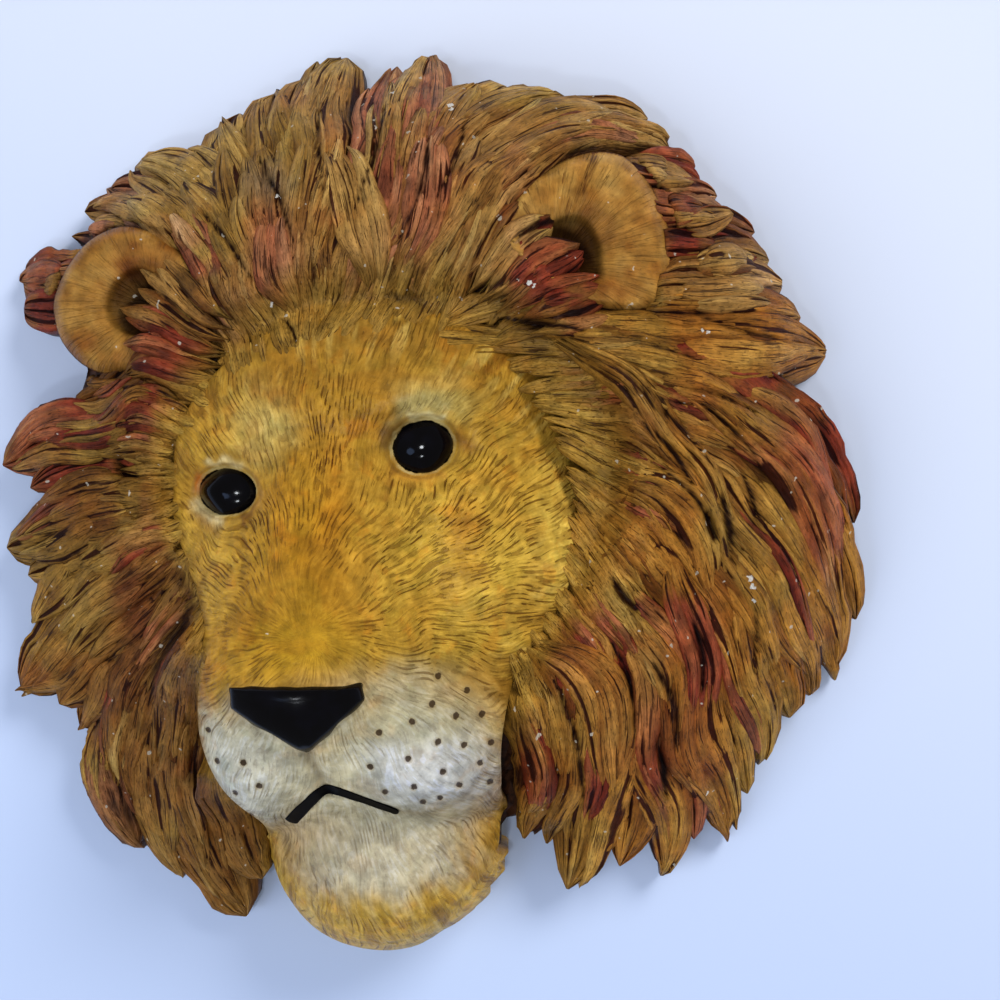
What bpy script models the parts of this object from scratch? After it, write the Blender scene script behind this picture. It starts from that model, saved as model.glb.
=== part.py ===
"""Lion head wall plaque: one painted resin casting in high relief, with a flat back and a nail pocket cast into it.

Metres, +Z up. The back lies in the plane Y = 0 against the wall, and the lion looks out along -Y.
The origin is on the back, at its middle.

The carving is drawn in millimetres on a plaque DRAWN_HEIGHT tall and DRAWN_DEPTH deep. A place is (across, up)
from the origin and a level is a distance in front of the back. PLAQUE_HEIGHT and RELIEF_DEPTH give it its real size.
"""

import bmesh
import bpy
import numpy as np

# Driving sizes, in metres
PLAQUE_HEIGHT = 0.204
RELIEF_DEPTH = 0.064
POCKET_WIDTH = 0.018
POCKET_HEIGHT = 0.014
POCKET_DEPTH = 0.012
POCKET_ROOF_RISE = 0.004
POCKET_FLOOR_UP = 0.036
CARVING_GRAIN = 0.0011
FACET_SHARE = 0.056
CUTTER_MARGIN = 0.01

# The drawing's own size, in millimetres
DRAWN_HEIGHT = 204.0
DRAWN_DEPTH = 64.0
BEHIND_BACK = -3.0

# The head's rounded masses: centre across and up, half width, half height, turn in degrees, level at the top,
# drop to the edge, and how square the mass is (2 is a dome, more is a flatter top with steeper sides)
MASSES = {
    "skull": (-12, 4, 46, 44, 10, 39, 14, 2.5),
    "forehead": (-14, 25, 34, 21, 10, 41, 8, 2.0),
    "right_brow": (-1, 22, 15, 7, 18, 42.5, 5, 2.0),
    "left_brow": (-40, 12, 11, 7, -8, 37, 5, 2.0),
    "right_cheek": (8, -14, 28, 30, 8, 41.5, 13, 2.2),
    "left_cheek": (-43, -12, 13, 24, 12, 32, 8, 2.2),
    "muzzle": (-15, -49, 31, 20, 4, 51, 16, 2.4),
    "left_pad": (-34.5, -54.5, 11.5, 13.5, 22, 54.5, 14, 2.4),
    "right_pad": (-2.5, -52, 19.5, 14.5, -6, 56, 13, 2.4),
    "chin": (-8, -78, 25, 23, 6, 43, 20, 2.4),
}
MASS_BLEND = 2.6

# The bridge of the nose runs from between the eyes down to the nose leather
BRIDGE_TOP, BRIDGE_TOP_LEVEL = (-19, 14), 43.0
BRIDGE_FOOT, BRIDGE_FOOT_LEVEL = (-25, -37), 62.0
BRIDGE_HALF_WIDTH, BRIDGE_DROP = 17.0, 7.5

# The nose leather's corners, and how far it stands proud of the muzzle
NOSE_CORNERS = ((-38.5, -37.6), (-11.6, -37.4), (-10.8, -40.6), (-22.8, -51.6), (-38.2, -42.4))
NOSE_PROUD = 1.8

# Eyes: centre, half width, half height, turn; the balls stand out of sockets
EYES = {"right": (0.0, 11.4, 6.5, 5.1, 8), "left": (-42.4, 1.8, 6.1, 4.6, -3)}
EYE_PROUD, SOCKET_DEPTH, SOCKET_REACH = 4.6, 5.6, 2.2
LID_PROUD, LID_PLACE, LID_WIDTH = 1.4, 1.3, 0.22

# Grooves of the mouth and the lip's split: places along each, half width and depth
MOUTH = ((-27.0, -67.4), (-19.4, -60.6), (-7.0, -65.0))
LIP_SPLIT = ((-22.8, -51.8), (-19.4, -60.6))
MOUTH_HALF_WIDTH, MOUTH_DEPTH = 1.8, 3.0
SPLIT_HALF_WIDTH, SPLIT_DEPTH = 2.4, 1.6

# The edge of the face, where it dips under the mane; anticlockwise from the right cheek
FACE_EDGE = (
    (36, -4), (33, 18), (20, 34), (-4, 42), (-27, 40), (-46, 27), (-54, 14), (-55.5, -3), (-52, -13), (-47.5, -21),
    (-45.5, -31), (-46.5, -42), (-46.5, -52), (-43, -61), (-36, -70), (-35.5, -80), (-32, -89), (-24, -98),
    (-13, -101.3), (-3, -100.3), (5, -95), (14, -89), (17.5, -80), (17, -66), (17, -50), (21, -36), (30, -22),
)

FACE_CENTRE, FACE_EDGE_FALL, EDGE_REACH = (-18, -24), 5.0, 0.10

# The bed under the mane, an ellipse that the locks overhang all round
BED_CENTRE, BED_RADII = (0, 2), (84, 77)
BED_SINK = 2.5

# The mane stands up round the face as a ruff and falls to thin tips: centre and radii of its sweep
SWEEP_CENTRE, SWEEP_RADII = (0, 1), (98, 101)
RUFF_LEVEL, RUFF_ACROSS, RUFF_UP = 32.5, 0.11, 0.14
RUFF_REACH, TIP_LEVEL = 0.40, 9.0

# Each lock: root, a place it passes half way, tip, width, and how blunt its tip is (1 pointed, 0.5 round)
LOCKS = {
    "crown_1": ((-27, 38), (-28, 67), (-26, 102), 12, 0.7),
    "crown_2": ((-24, 38), (-23, 67), (-19, 102.5), 20, 0.5),
    "crown_3": ((-20, 39), (-11, 67), (-7, 99), 12, 0.8),
    "crown_4": ((-16, 40), (-3, 69), (1, 102.5), 15, 0.6),
    "crown_5": ((-11, 42), (0, 66), (11, 91), 20, 0.4),
    "crown_6": ((-7, 43), (9, 70), (27, 91), 18, 0.4),
    "crown_7": ((-3, 43), (16, 69), (41, 86), 18, 0.5),
    "above_ear": ((4, 43), (28, 76), (55, 80), 14, 0.6),
    "ear_tuft_1": ((42, 70), (52, 72), (62, 71), 10, 0.8),
    "ear_tuft_2": ((46, 64), (56, 64), (68, 64), 11, 0.9),
    "ear_tuft_3": ((49, 57), (62, 57), (76, 55), 12, 0.9),
    "ear_tuft_4": ((48, 47), (64, 48), (80, 48), 14, 0.8),
    "right_1": ((25, 36), (58, 33), (91, 33), 20, 0.7),
    "right_2": ((38, 27), (75, 18), (94, -16), 15, 0.7),
    "right_3": ((36, 20), (74, 1), (94, -40), 19, 0.7),
    "right_4": ((35, 13), (66, -10), (88, -45), 22, 0.8),
    "right_5": ((34, 4), (61, -24), (75, -60), 23, 0.6),
    "right_6": ((33, -4), (54, -38), (69, -78), 17, 0.8),
    "right_7": ((32, -13), (50, -47), (55, -86), 14, 0.7),
    "right_8": ((26, -24), (39, -51), (32, -89), 22, 1.0),
    "right_9": ((20, -36), (26, -58), (24, -77), 14, 0.8),
    "left_1": ((-46, -35), (-52, -67), (-42, -96), 20, 0.7),
    "left_2": ((-49, -31), (-60, -59), (-57, -86), 13, 0.9),
    "left_3": ((-52, -25), (-71, -54), (-67, -80), 13, 0.7),
    "left_4": ((-54, -19), (-65, -36), (-80, -52), 17, 0.8),
    "left_5": ((-55, -13), (-74, -27), (-94, -44), 20, 0.7),
    "left_6": ((-55, -8), (-74, -17), (-90, -28), 16, 0.8),
    "left_7": ((-56, 0), (-76, -6), (-97, -11), 17, 0.7),
    "left_8": ((-54, 13), (-74, 15), (-98, 8), 20, 0.9),
    "left_9": ((-48, 25), (-62, 27), (-81, 22), 14, 0.8),
    "ear_tuft_5": ((-69, 47), (-84, 50), (-95, 51), 16, 0.6),
    "ear_tuft_6": ((-50, 46), (-64, 63), (-80, 67), 10, 0.8),
    "ear_tuft_7": ((-44, 44), (-57, 64), (-74, 72), 13, 0.7),
    "crown_8": ((-38, 41), (-50, 64), (-68, 77), 17, 0.5),
    "crown_9": ((-34, 39), (-44, 62), (-54, 79), 15, 0.5),
    "crown_10": ((-31, 38), (-40, 62), (-46, 86), 17, 0.5),
    "crown_11": ((-29, 38), (-34, 66), (-35, 93), 18, 0.5),
}
LOCK_STEPS, LOCK_DOME, LOCK_WIDEST = 14, 0.40, 0.45

# A lock's root is sunk this deep, and rises to its full level over this share of its length
ROOT_SINK, ROOT_REACH = 3.5, 0.3

# Shorter locks that lie on each long one: span along it, share of its width, side step as a share, and lift
UPPER_TIERS = ((0.26, 0.90, 0.62, 0.42, 2.0), (-0.16, 0.60, 0.60, -0.08, 3.2))
LOCK_START = -0.2

# Ears: the places round each rim, the centre of its hollow, the level there, how it slopes across and up, and how
# deep the hollow goes
EARS = {
    "right": (((16, 56), (21, 67), (33, 75), (44, 75), (52, 64), (54, 50), (50, 41), (34, 42)), (28, 51), (43, -0.2, -0.25), 9),
    "left": (((-47, 45), (-53, 55), (-66, 61), (-77, 57), (-84, 45), (-81, 34), (-71, 28), (-56, 31)), (-60, 43), (26, 0.14, 0.0), 6),
}
EAR_RIM_PLACE = 0.76

# Hair that springs from the face side of each ear over its hollow
EAR_HAIR = {
    "right_a": ((10, 44), (18, 52), (29, 63), 8, 0.9),
    "right_b": ((14, 42), (24, 50), (36, 60), 8, 0.9),
    "right_c": ((18, 40), (29, 46), (42, 54), 8, 0.9),
    "right_d": ((22, 38), (34, 42), (46, 48), 8, 0.9),
    "left_a": ((-42, 38), (-51, 44), (-60, 53), 7, 0.9),
    "left_b": ((-42, 35), (-53, 40), (-65, 48), 8, 0.9),
    "left_c": ((-43, 32), (-54, 35), (-67, 40), 8, 0.9),
    "left_d": ((-44, 29), (-54, 30), (-65, 33), 7, 0.9),
}
EAR_HAIR_LIFT = 2.5

TRIM_SIDES = 96


def turned(across, up, centre, degrees):
    """Places seen from a centre, with the axes turned anticlockwise by degrees."""
    angle = np.radians(degrees)
    dx, dz = across - centre[0], up - centre[1]
    return dx * np.cos(angle) + dz * np.sin(angle), dz * np.cos(angle) - dx * np.sin(angle)


def smooth_step(t):
    t = np.clip(t, 0.0, 1.0)
    return t * t * (3 - 2 * t)


def along_line(across, up, start, end):
    """For each place, its share along the line from start to end, and its distance from that line."""
    (ax, az), (bx, bz) = start, end
    length_squared = (bx - ax) ** 2 + (bz - az) ** 2
    share = np.clip(((across - ax) * (bx - ax) + (up - az) * (bz - az)) / length_squared, 0, 1)
    return share, np.hypot(across - ax - share * (bx - ax), up - az - share * (bz - az))


def inside_corners(across, up, corners):
    """Distance inside a convex outline of clockwise corners; negative outside."""
    inside = np.full(np.shape(across), np.inf)
    for (ax, az), (bx, bz) in zip(corners, corners[1:] + corners[:1]):
        edge_x, edge_z = bx - ax, bz - az
        distance = ((across - ax) * -edge_z + (up - az) * edge_x) / -np.hypot(edge_x, edge_z)
        inside = np.minimum(inside, distance)
    return inside


def groove(across, up, places, half_width, depth):
    """A rounded groove along a run of places, as the level it takes away."""
    nearest = np.full(np.shape(across), np.inf)
    for start, end in zip(places, places[1:]):
        nearest = np.minimum(nearest, along_line(across, up, start, end)[1])
    return depth * (1 - smooth_step(nearest / half_width))


def head_level(across, up):
    """The head's surface: its masses and the bridge of the nose run together, then sockets, eyes, nose and mouth."""
    levels = []
    for x, z, half_width, half_height, turn, top, drop, square in MASSES.values():
        dx, dz = turned(across, up, (x, z), turn)
        radius = np.hypot(dx / half_width, dz / half_height)
        levels.append(top - drop * radius**square)
    share, distance = along_line(across, up, BRIDGE_TOP, BRIDGE_FOOT)
    crest = BRIDGE_TOP_LEVEL + (BRIDGE_FOOT_LEVEL - BRIDGE_TOP_LEVEL) * share
    levels.append(crest - BRIDGE_DROP * (distance / BRIDGE_HALF_WIDTH) ** 2)
    level = MASS_BLEND * np.logaddexp.reduce(np.array(levels) / MASS_BLEND, axis=0)
    for x, z, half_width, half_height, turn in EYES.values():
        dx, dz = turned(across, up, (x, z), turn)
        radius = np.hypot(dx / half_width, dz / half_height)
        level = level - SOCKET_DEPTH * (1 - smooth_step(radius / SOCKET_REACH))
        level = level + EYE_PROUD * np.sqrt(np.clip(1 - radius**2, 0, None))
        level = level + LID_PROUD * np.exp(-(((radius - LID_PLACE) / LID_WIDTH) ** 2))
    nose = inside_corners(across, up, NOSE_CORNERS)
    level = level + NOSE_PROUD * smooth_step(nose / 1.5 + 0.5)
    level = level - groove(across, up, LIP_SPLIT, SPLIT_HALF_WIDTH, SPLIT_DEPTH)
    return level - groove(across, up, MOUTH, MOUTH_HALF_WIDTH, MOUTH_DEPTH)


def mane_level(across, up):
    """The mane's general surface: a ruff round the face that rounds down to the tips."""
    radius = np.hypot((across - SWEEP_CENTRE[0]) / SWEEP_RADII[0], (up - SWEEP_CENTRE[1]) / SWEEP_RADII[1])
    ruff = RUFF_LEVEL + RUFF_ACROSS * across + RUFF_UP * up
    out = np.clip((radius - RUFF_REACH) / (1 - RUFF_REACH), 0, 1.15)
    return TIP_LEVEL + (ruff - TIP_LEVEL) * (1 - out**2)


def closed_curve(places, count):
    """count places round a smooth closed curve through the given ones (Catmull-Rom)."""
    points = np.array(places, float)
    t = np.arange(count) * len(points) / count
    index, share = t.astype(int), (t % 1)[:, None]
    a, b, c, d = (points[(index + k) % len(points)] for k in (-1, 0, 1, 2))
    return b + 0.5 * share * (c - a + share * (2 * a - 5 * b + 4 * c - d + share * (3 * (b - c) + d - a)))


def ring_faces(rings, count):
    """Quads between rings of count points each, ring after ring."""
    ring, step = np.meshgrid(np.arange(rings - 1) * count, np.arange(count), indexing="ij")
    after = (step + 1) % count
    quads = np.stack([ring + step, ring + after, ring + count + after, ring + count + step], axis=-1)
    return [tuple(q) for q in quads.reshape(-1, 4).tolist()]


def dome_block(outline, centre, level_of, rings, edge_fall=0.0):
    """A closed block over an outline: rings shrink to the centre on top, and straight sides run down behind the back."""
    count = len(outline)
    shares = np.linspace(1, 1 / rings, rings)[:, None, None]
    places = np.array(centre, float) + shares * (outline - np.array(centre, float))
    levels = level_of(places[..., 0], places[..., 1])
    past = np.clip((shares[..., 0] - 1) / EDGE_REACH + 1, 0, 1)
    levels = levels - edge_fall * (1 - np.sqrt(1 - past**2))
    top = np.dstack([places, levels]).reshape(-1, 3)
    foot = np.column_stack([outline, np.full(count, BEHIND_BACK)])
    middle = [[*centre, float(level_of(np.array(centre[0], float), np.array(centre[1], float)))]]
    points = np.vstack([foot, top, middle])
    faces = ring_faces(rings + 1, count)
    last, peak = rings * count, len(points) - 1
    faces += [(last + i, last + (i + 1) % count, peak) for i in range(count)]
    faces.append(tuple(reversed(range(count))))
    return points, faces


def lock_width(share, point):
    """A lock's width along it as a share of its greatest: it swells from the root, then narrows to its tip."""
    swell = 0.5 + 0.5 * smooth_step(share / LOCK_WIDEST)
    narrow = np.clip((share - LOCK_WIDEST) / (1 - LOCK_WIDEST), 0, 1)
    return swell * np.clip(1 - narrow**2.4, 0.0, 1) ** point + 0.03


def spine_at(root, bend, tip, share):
    """Places along the curve from root to tip that passes bend half way, and the unit step to its side."""
    root, bend, tip = (np.array(p, float) for p in (root, bend, tip))
    control = 2 * bend - (root + tip) / 2
    s = share[:, None]
    place = (1 - s) ** 2 * root + 2 * s * (1 - s) * control + s**2 * tip
    run = (1 - s) * (control - root) + s * (tip - control)
    run /= np.linalg.norm(run, axis=1)[:, None]
    return place, np.column_stack([-run[:, 1], run[:, 0]])


def lock_block(root, bend, tip, width, point, start=0.0, end=1.0, side_step=0.0, lift=0.0):
    """A closed block under one lock: a domed strip along its spine, with straight sides down behind the back."""
    share = np.linspace(0, 1, LOCK_STEPS)
    place, side = spine_at(root, bend, tip, start + share * (end - start))
    half = width / 2 * lock_width(share, point)
    place = place + side * side_step * width
    across_lock = np.array([-1.0, -0.8, -0.4, 0.0, 0.4, 0.8, 1.0])
    edge = place[:, None, :] + side[:, None, :] * (half[:, None] * across_lock)[..., None]
    dome = LOCK_DOME * half[:, None] * (1 - across_lock**2)
    rise = (lift + ROOT_SINK) * smooth_step(share / ROOT_REACH) - ROOT_SINK
    level = (mane_level(place[:, 0], place[:, 1]) + rise)[:, None] + dome
    top = np.dstack([edge, level])
    feet = [np.dstack([edge[:, [i]], np.full((LOCK_STEPS, 1), BEHIND_BACK)]) for i in (0, -1)]
    loops = np.concatenate([feet[0], top, feet[1]], axis=1)
    count = loops.shape[1]
    faces = ring_faces(LOCK_STEPS, count)
    faces.append(tuple(reversed(range(count))))
    faces.append(tuple(range((LOCK_STEPS - 1) * count, LOCK_STEPS * count)))
    return loops.reshape(-1, 3), faces


def ear_level(hollow, plane, depth, outline):
    """The ear's surface: a rounded rim with a hollow sunk into it."""

    def level_of(across, up):
        places = np.stack([across, up], axis=-1) - np.array(hollow, float)
        bearing = np.arctan2(places[..., 1], places[..., 0])
        edge = outline - np.array(hollow, float)
        edge_bearing = np.arctan2(edge[:, 1], edge[:, 0])
        order = np.argsort(edge_bearing)
        reach = np.interp(bearing, edge_bearing[order], np.hypot(*edge[order].T), period=2 * np.pi)
        radius = np.hypot(places[..., 0], places[..., 1]) / reach
        bowl = depth * (1 - smooth_step(radius / EAR_RIM_PLACE))
        roll = 5.0 * np.clip((radius - EAR_RIM_PLACE) / (1 - EAR_RIM_PLACE), 0, 1) ** 3
        level, slope_across, slope_up = plane
        rim = level + slope_across * (across - hollow[0]) + slope_up * (up - hollow[1])
        return rim - bowl - roll

    return level_of


def bed_level(across, up):
    return mane_level(across, up) - BED_SINK


def all_blocks():
    """Every block of the carving, as points in the drawing and faces."""
    angle = np.linspace(0, 2 * np.pi, TRIM_SIDES, endpoint=False)
    bed = np.column_stack([BED_CENTRE[0] + BED_RADII[0] * np.cos(angle), BED_CENTRE[1] + BED_RADII[1] * np.sin(angle)])
    yield dome_block(bed, BED_CENTRE, bed_level, 8)
    for root, bend, tip, width, point in LOCKS.values():
        yield lock_block(root, bend, tip, width, point, LOCK_START)
        for start, end, share, side_step, lift in UPPER_TIERS:
            row_width = width * share
            yield lock_block(root, bend, tip, row_width, point, start, end, side_step / share, lift)
    for rim, hollow, plane, depth in EARS.values():
        outline = closed_curve(rim, TRIM_SIDES)
        yield dome_block(outline, hollow, ear_level(hollow, plane, depth, outline), 16)
    for root, bend, tip, width, point in EAR_HAIR.values():
        yield lock_block(root, bend, tip, width, point, lift=EAR_HAIR_LIFT)
    yield dome_block(closed_curve(FACE_EDGE, 3 * TRIM_SIDES), FACE_CENTRE, head_level, 96, FACE_EDGE_FALL)


def carving_mesh():
    """All blocks in one mesh, at the plaque's real size."""
    points, faces, start = [], [], 0
    for block_points, block_faces in all_blocks():
        points.append(block_points)
        faces += [tuple(start + i for i in face) for face in block_faces]
        start += len(block_points)
    drawn = np.vstack(points)
    size = PLAQUE_HEIGHT / DRAWN_HEIGHT
    depth = RELIEF_DEPTH / DRAWN_DEPTH
    real = np.column_stack([drawn[:, 0] * size, -drawn[:, 2] * depth, drawn[:, 1] * size])
    mesh = bpy.data.meshes.new("lion_head_carving")
    mesh.from_pydata(real.tolist(), [], faces)
    tidy = bmesh.new()
    tidy.from_mesh(mesh)
    bmesh.ops.recalc_face_normals(tidy, faces=tidy.faces)
    tidy.to_mesh(mesh)
    tidy.free()
    return mesh


def resin_material():
    material = bpy.data.materials.new("painted_resin")
    material.use_nodes = True
    shader = material.node_tree.nodes["Principled BSDF"]
    shader.inputs["Base Color"].default_value = (0.42, 0.26, 0.09, 1.0)
    shader.inputs["Roughness"].default_value = 0.42
    shader.inputs["Metallic"].default_value = 0.0
    return material


def cutter(name, corners_yz, half_width, centre_x=0.0):
    """A prism across the plaque that only cuts: its outline in Y and Z, its half width along X."""
    count = len(corners_yz)
    points = [(centre_x + side * half_width, y, z) for side in (-1, 1) for y, z in corners_yz]
    faces = [tuple(range(count)), tuple(reversed(range(count, 2 * count)))]
    faces += [(i, i + count, (i + 1) % count + count, (i + 1) % count) for i in range(count)]
    mesh = bpy.data.meshes.new(name)
    mesh.from_pydata(points, [], faces)
    tidy = bmesh.new()
    tidy.from_mesh(mesh)
    bmesh.ops.recalc_face_normals(tidy, faces=tidy.faces)
    tidy.to_mesh(mesh)
    tidy.free()
    tool = bpy.data.objects.new(name, mesh)
    tool.hide_render = True
    tool.display_type = "WIRE"
    bpy.context.scene.collection.objects.link(tool)
    return tool


def cut(piece, tool):
    step = piece.modifiers.new("cut_" + tool.name, "BOOLEAN")
    step.operation = "DIFFERENCE"
    step.solver = "EXACT"
    step.object = tool


def build():
    for old in list(bpy.data.objects):
        bpy.data.objects.remove(old)
    plaque = bpy.data.objects.new("lion_head", carving_mesh())
    bpy.context.scene.collection.objects.link(plaque)
    plaque.data.materials.append(resin_material())

    fuse = plaque.modifiers.new("fuse_into_one_casting", "REMESH")
    fuse.mode = "VOXEL"
    fuse.voxel_size = CARVING_GRAIN
    facet = plaque.modifiers.new("facet", "DECIMATE")
    facet.ratio = FACET_SHARE

    reach = PLAQUE_HEIGHT
    wall = cutter("wall_side", [(0, -reach), (0, reach), (reach, reach), (reach, -reach)], reach)
    cut(plaque, wall)
    floor_up, roof_up = POCKET_FLOOR_UP, POCKET_FLOOR_UP + POCKET_HEIGHT
    lip_slope = POCKET_ROOF_RISE / POCKET_DEPTH
    pocket_outline = [
        (CUTTER_MARGIN, floor_up),
        (CUTTER_MARGIN, roof_up - lip_slope * CUTTER_MARGIN),
        (-POCKET_DEPTH, roof_up + POCKET_ROOF_RISE),
        (-POCKET_DEPTH, floor_up),
    ]
    cut(plaque, cutter("nail_pocket", pocket_outline, POCKET_WIDTH / 2))


build()
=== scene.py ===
"""The lion head wall plaque dressed for the photograph: carved fur, painted resin, a pale table and soft
light.

Everything is drawn in millimetres as (across, up, level), where level is the distance in front of the flat
back, and is put into metres as (across, -level, up) when a piece is made. The plain solid keeps the
casting's form; the pieces made here lie on a core that is the same solid, drawn in a little and lowered
under the fur, with its back and nail pocket where they were. The drawing's numbers are those of the part's
own source, but for the mouth's depth, the eyes and their lids, the ears' hollows and the left ear's plane.
"""

import bmesh
import bpy
import numpy as np
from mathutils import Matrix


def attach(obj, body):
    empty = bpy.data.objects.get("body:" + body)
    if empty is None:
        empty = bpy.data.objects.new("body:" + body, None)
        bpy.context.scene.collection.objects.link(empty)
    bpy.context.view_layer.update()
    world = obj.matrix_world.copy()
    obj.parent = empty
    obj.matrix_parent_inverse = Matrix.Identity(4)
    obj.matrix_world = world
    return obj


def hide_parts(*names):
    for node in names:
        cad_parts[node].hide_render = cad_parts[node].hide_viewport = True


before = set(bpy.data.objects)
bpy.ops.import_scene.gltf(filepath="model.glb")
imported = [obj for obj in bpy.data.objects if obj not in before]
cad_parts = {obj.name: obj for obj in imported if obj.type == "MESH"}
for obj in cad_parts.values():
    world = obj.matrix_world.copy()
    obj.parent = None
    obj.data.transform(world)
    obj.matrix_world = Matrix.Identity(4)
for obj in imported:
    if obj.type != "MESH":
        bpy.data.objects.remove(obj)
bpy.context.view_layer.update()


MM = 0.001
# A shell's sides reach down to the foot level, near the back; over the nail pocket they stop in front of it
FOOT_LEVEL, POCKET_FRONT = 0.4, 15.0
CLEAR_ACROSS, CLEAR_LOW, CLEAR_HIGH = 12.5, 31.5, 59.5
# The photograph: the camera's distance from the back's plane, its place across, and the picture's scale
# and size
VIEW_DISTANCE, VIEW_ACROSS, VIEW_SCALE, PICTURE_SIZE = 420.0, 16.5, 4.25, 1000
# The levels at which places in the picture are looked up on the mane and round the eyes
MANE_SEEN, LIDS_SEEN = 27, 40

# The drawing, with the numbers of the part's own source but for those named above
MASSES = {
    "skull": (-12, 4, 46, 44, 10, 39, 14, 2.5),
    "forehead": (-14, 25, 34, 21, 10, 41, 8, 2.0),
    "right_brow": (-1, 22, 15, 7, 18, 42.5, 5, 2.0),
    "left_brow": (-40, 12, 11, 7, -8, 37, 5, 2.0),
    "right_cheek": (8, -14, 28, 30, 8, 41.5, 13, 2.2),
    "left_cheek": (-43, -12, 13, 24, 12, 32, 8, 2.2),
    "muzzle": (-15, -49, 31, 20, 4, 51, 16, 2.4),
    "left_pad": (-34.5, -54.5, 11.5, 13.5, 22, 54.5, 14, 2.4),
    "right_pad": (-2.5, -52, 19.5, 14.5, -6, 56, 13, 2.4),
    "chin": (-8, -78, 25, 23, 6, 43, 20, 2.4),
}
MASS_BLEND = 2.6
BRIDGE_TOP, BRIDGE_TOP_LEVEL = (-19, 14), 43.0
BRIDGE_FOOT, BRIDGE_FOOT_LEVEL = (-25, -37), 62.0
BRIDGE_HALF_WIDTH, BRIDGE_DROP = 17.0, 7.5
NOSE_CORNERS = ((-38.5, -37.6), (-11.6, -37.4), (-10.8, -40.6), (-22.8, -51.6), (-38.2, -42.4))
NOSE_PROUD = 1.8
NOSE_EDGE = 1.5
EYES = {"right": (0.0, 11.4, 6.5, 5.1, 8), "left": (-42.4, 1.8, 6.1, 4.6, -3)}
SOCKET_DEPTH, SOCKET_REACH = 5.6, 2.2
# Each bead: its half width and half height, turn, the level of its rim's plane and that plane's slopes
BEADS = {"right": (6.2, 5.3, 13, 38.2, 0.0, 0.0), "left": (6.5, 4.75, -3, 36.4, 0.06, -0.03)}
BEAD_DOME, BEAD_ROUND = 2.4, 0.8
LID_PROUD, LID_PLACE, LID_WIDTH, LOWER_LID = 1.12, 1.3, 0.22, 0.45
MOUTH = ((-27.0, -67.4), (-19.4, -60.6), (-7.0, -65.0))
LIP_SPLIT = ((-22.8, -51.8), (-19.4, -60.6))
MOUTH_HALF_WIDTH, MOUTH_DEPTH = 1.8, 1.7
SPLIT_HALF_WIDTH, SPLIT_DEPTH = 2.4, 1.6
FACE_EDGE = (
    (36, -4), (33, 18), (20, 34), (-4, 42), (-27, 40), (-46, 27), (-54, 14), (-55.5, -3), (-52, -13),
    (-47.5, -21), (-45.5, -31), (-46.5, -42), (-46.5, -52), (-43, -61), (-36, -70), (-35.5, -80),
    (-32, -89), (-24, -98), (-13, -101.3), (-3, -100.3), (5, -95), (14, -89), (17.5, -80), (17, -66),
    (17, -50), (21, -36), (30, -22),
)
FACE_CENTRE, FACE_EDGE_FALL, EDGE_REACH = (-18, -24), 5.0, 0.10
HIDDEN_EDGE_FALL = 1.3
SWEEP_CENTRE, SWEEP_RADII = (0, 1), (98, 101)
RUFF_LEVEL, RUFF_ACROSS, RUFF_UP = 32.5, 0.11, 0.14
RUFF_REACH, TIP_LEVEL = 0.40, 9.0

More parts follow.
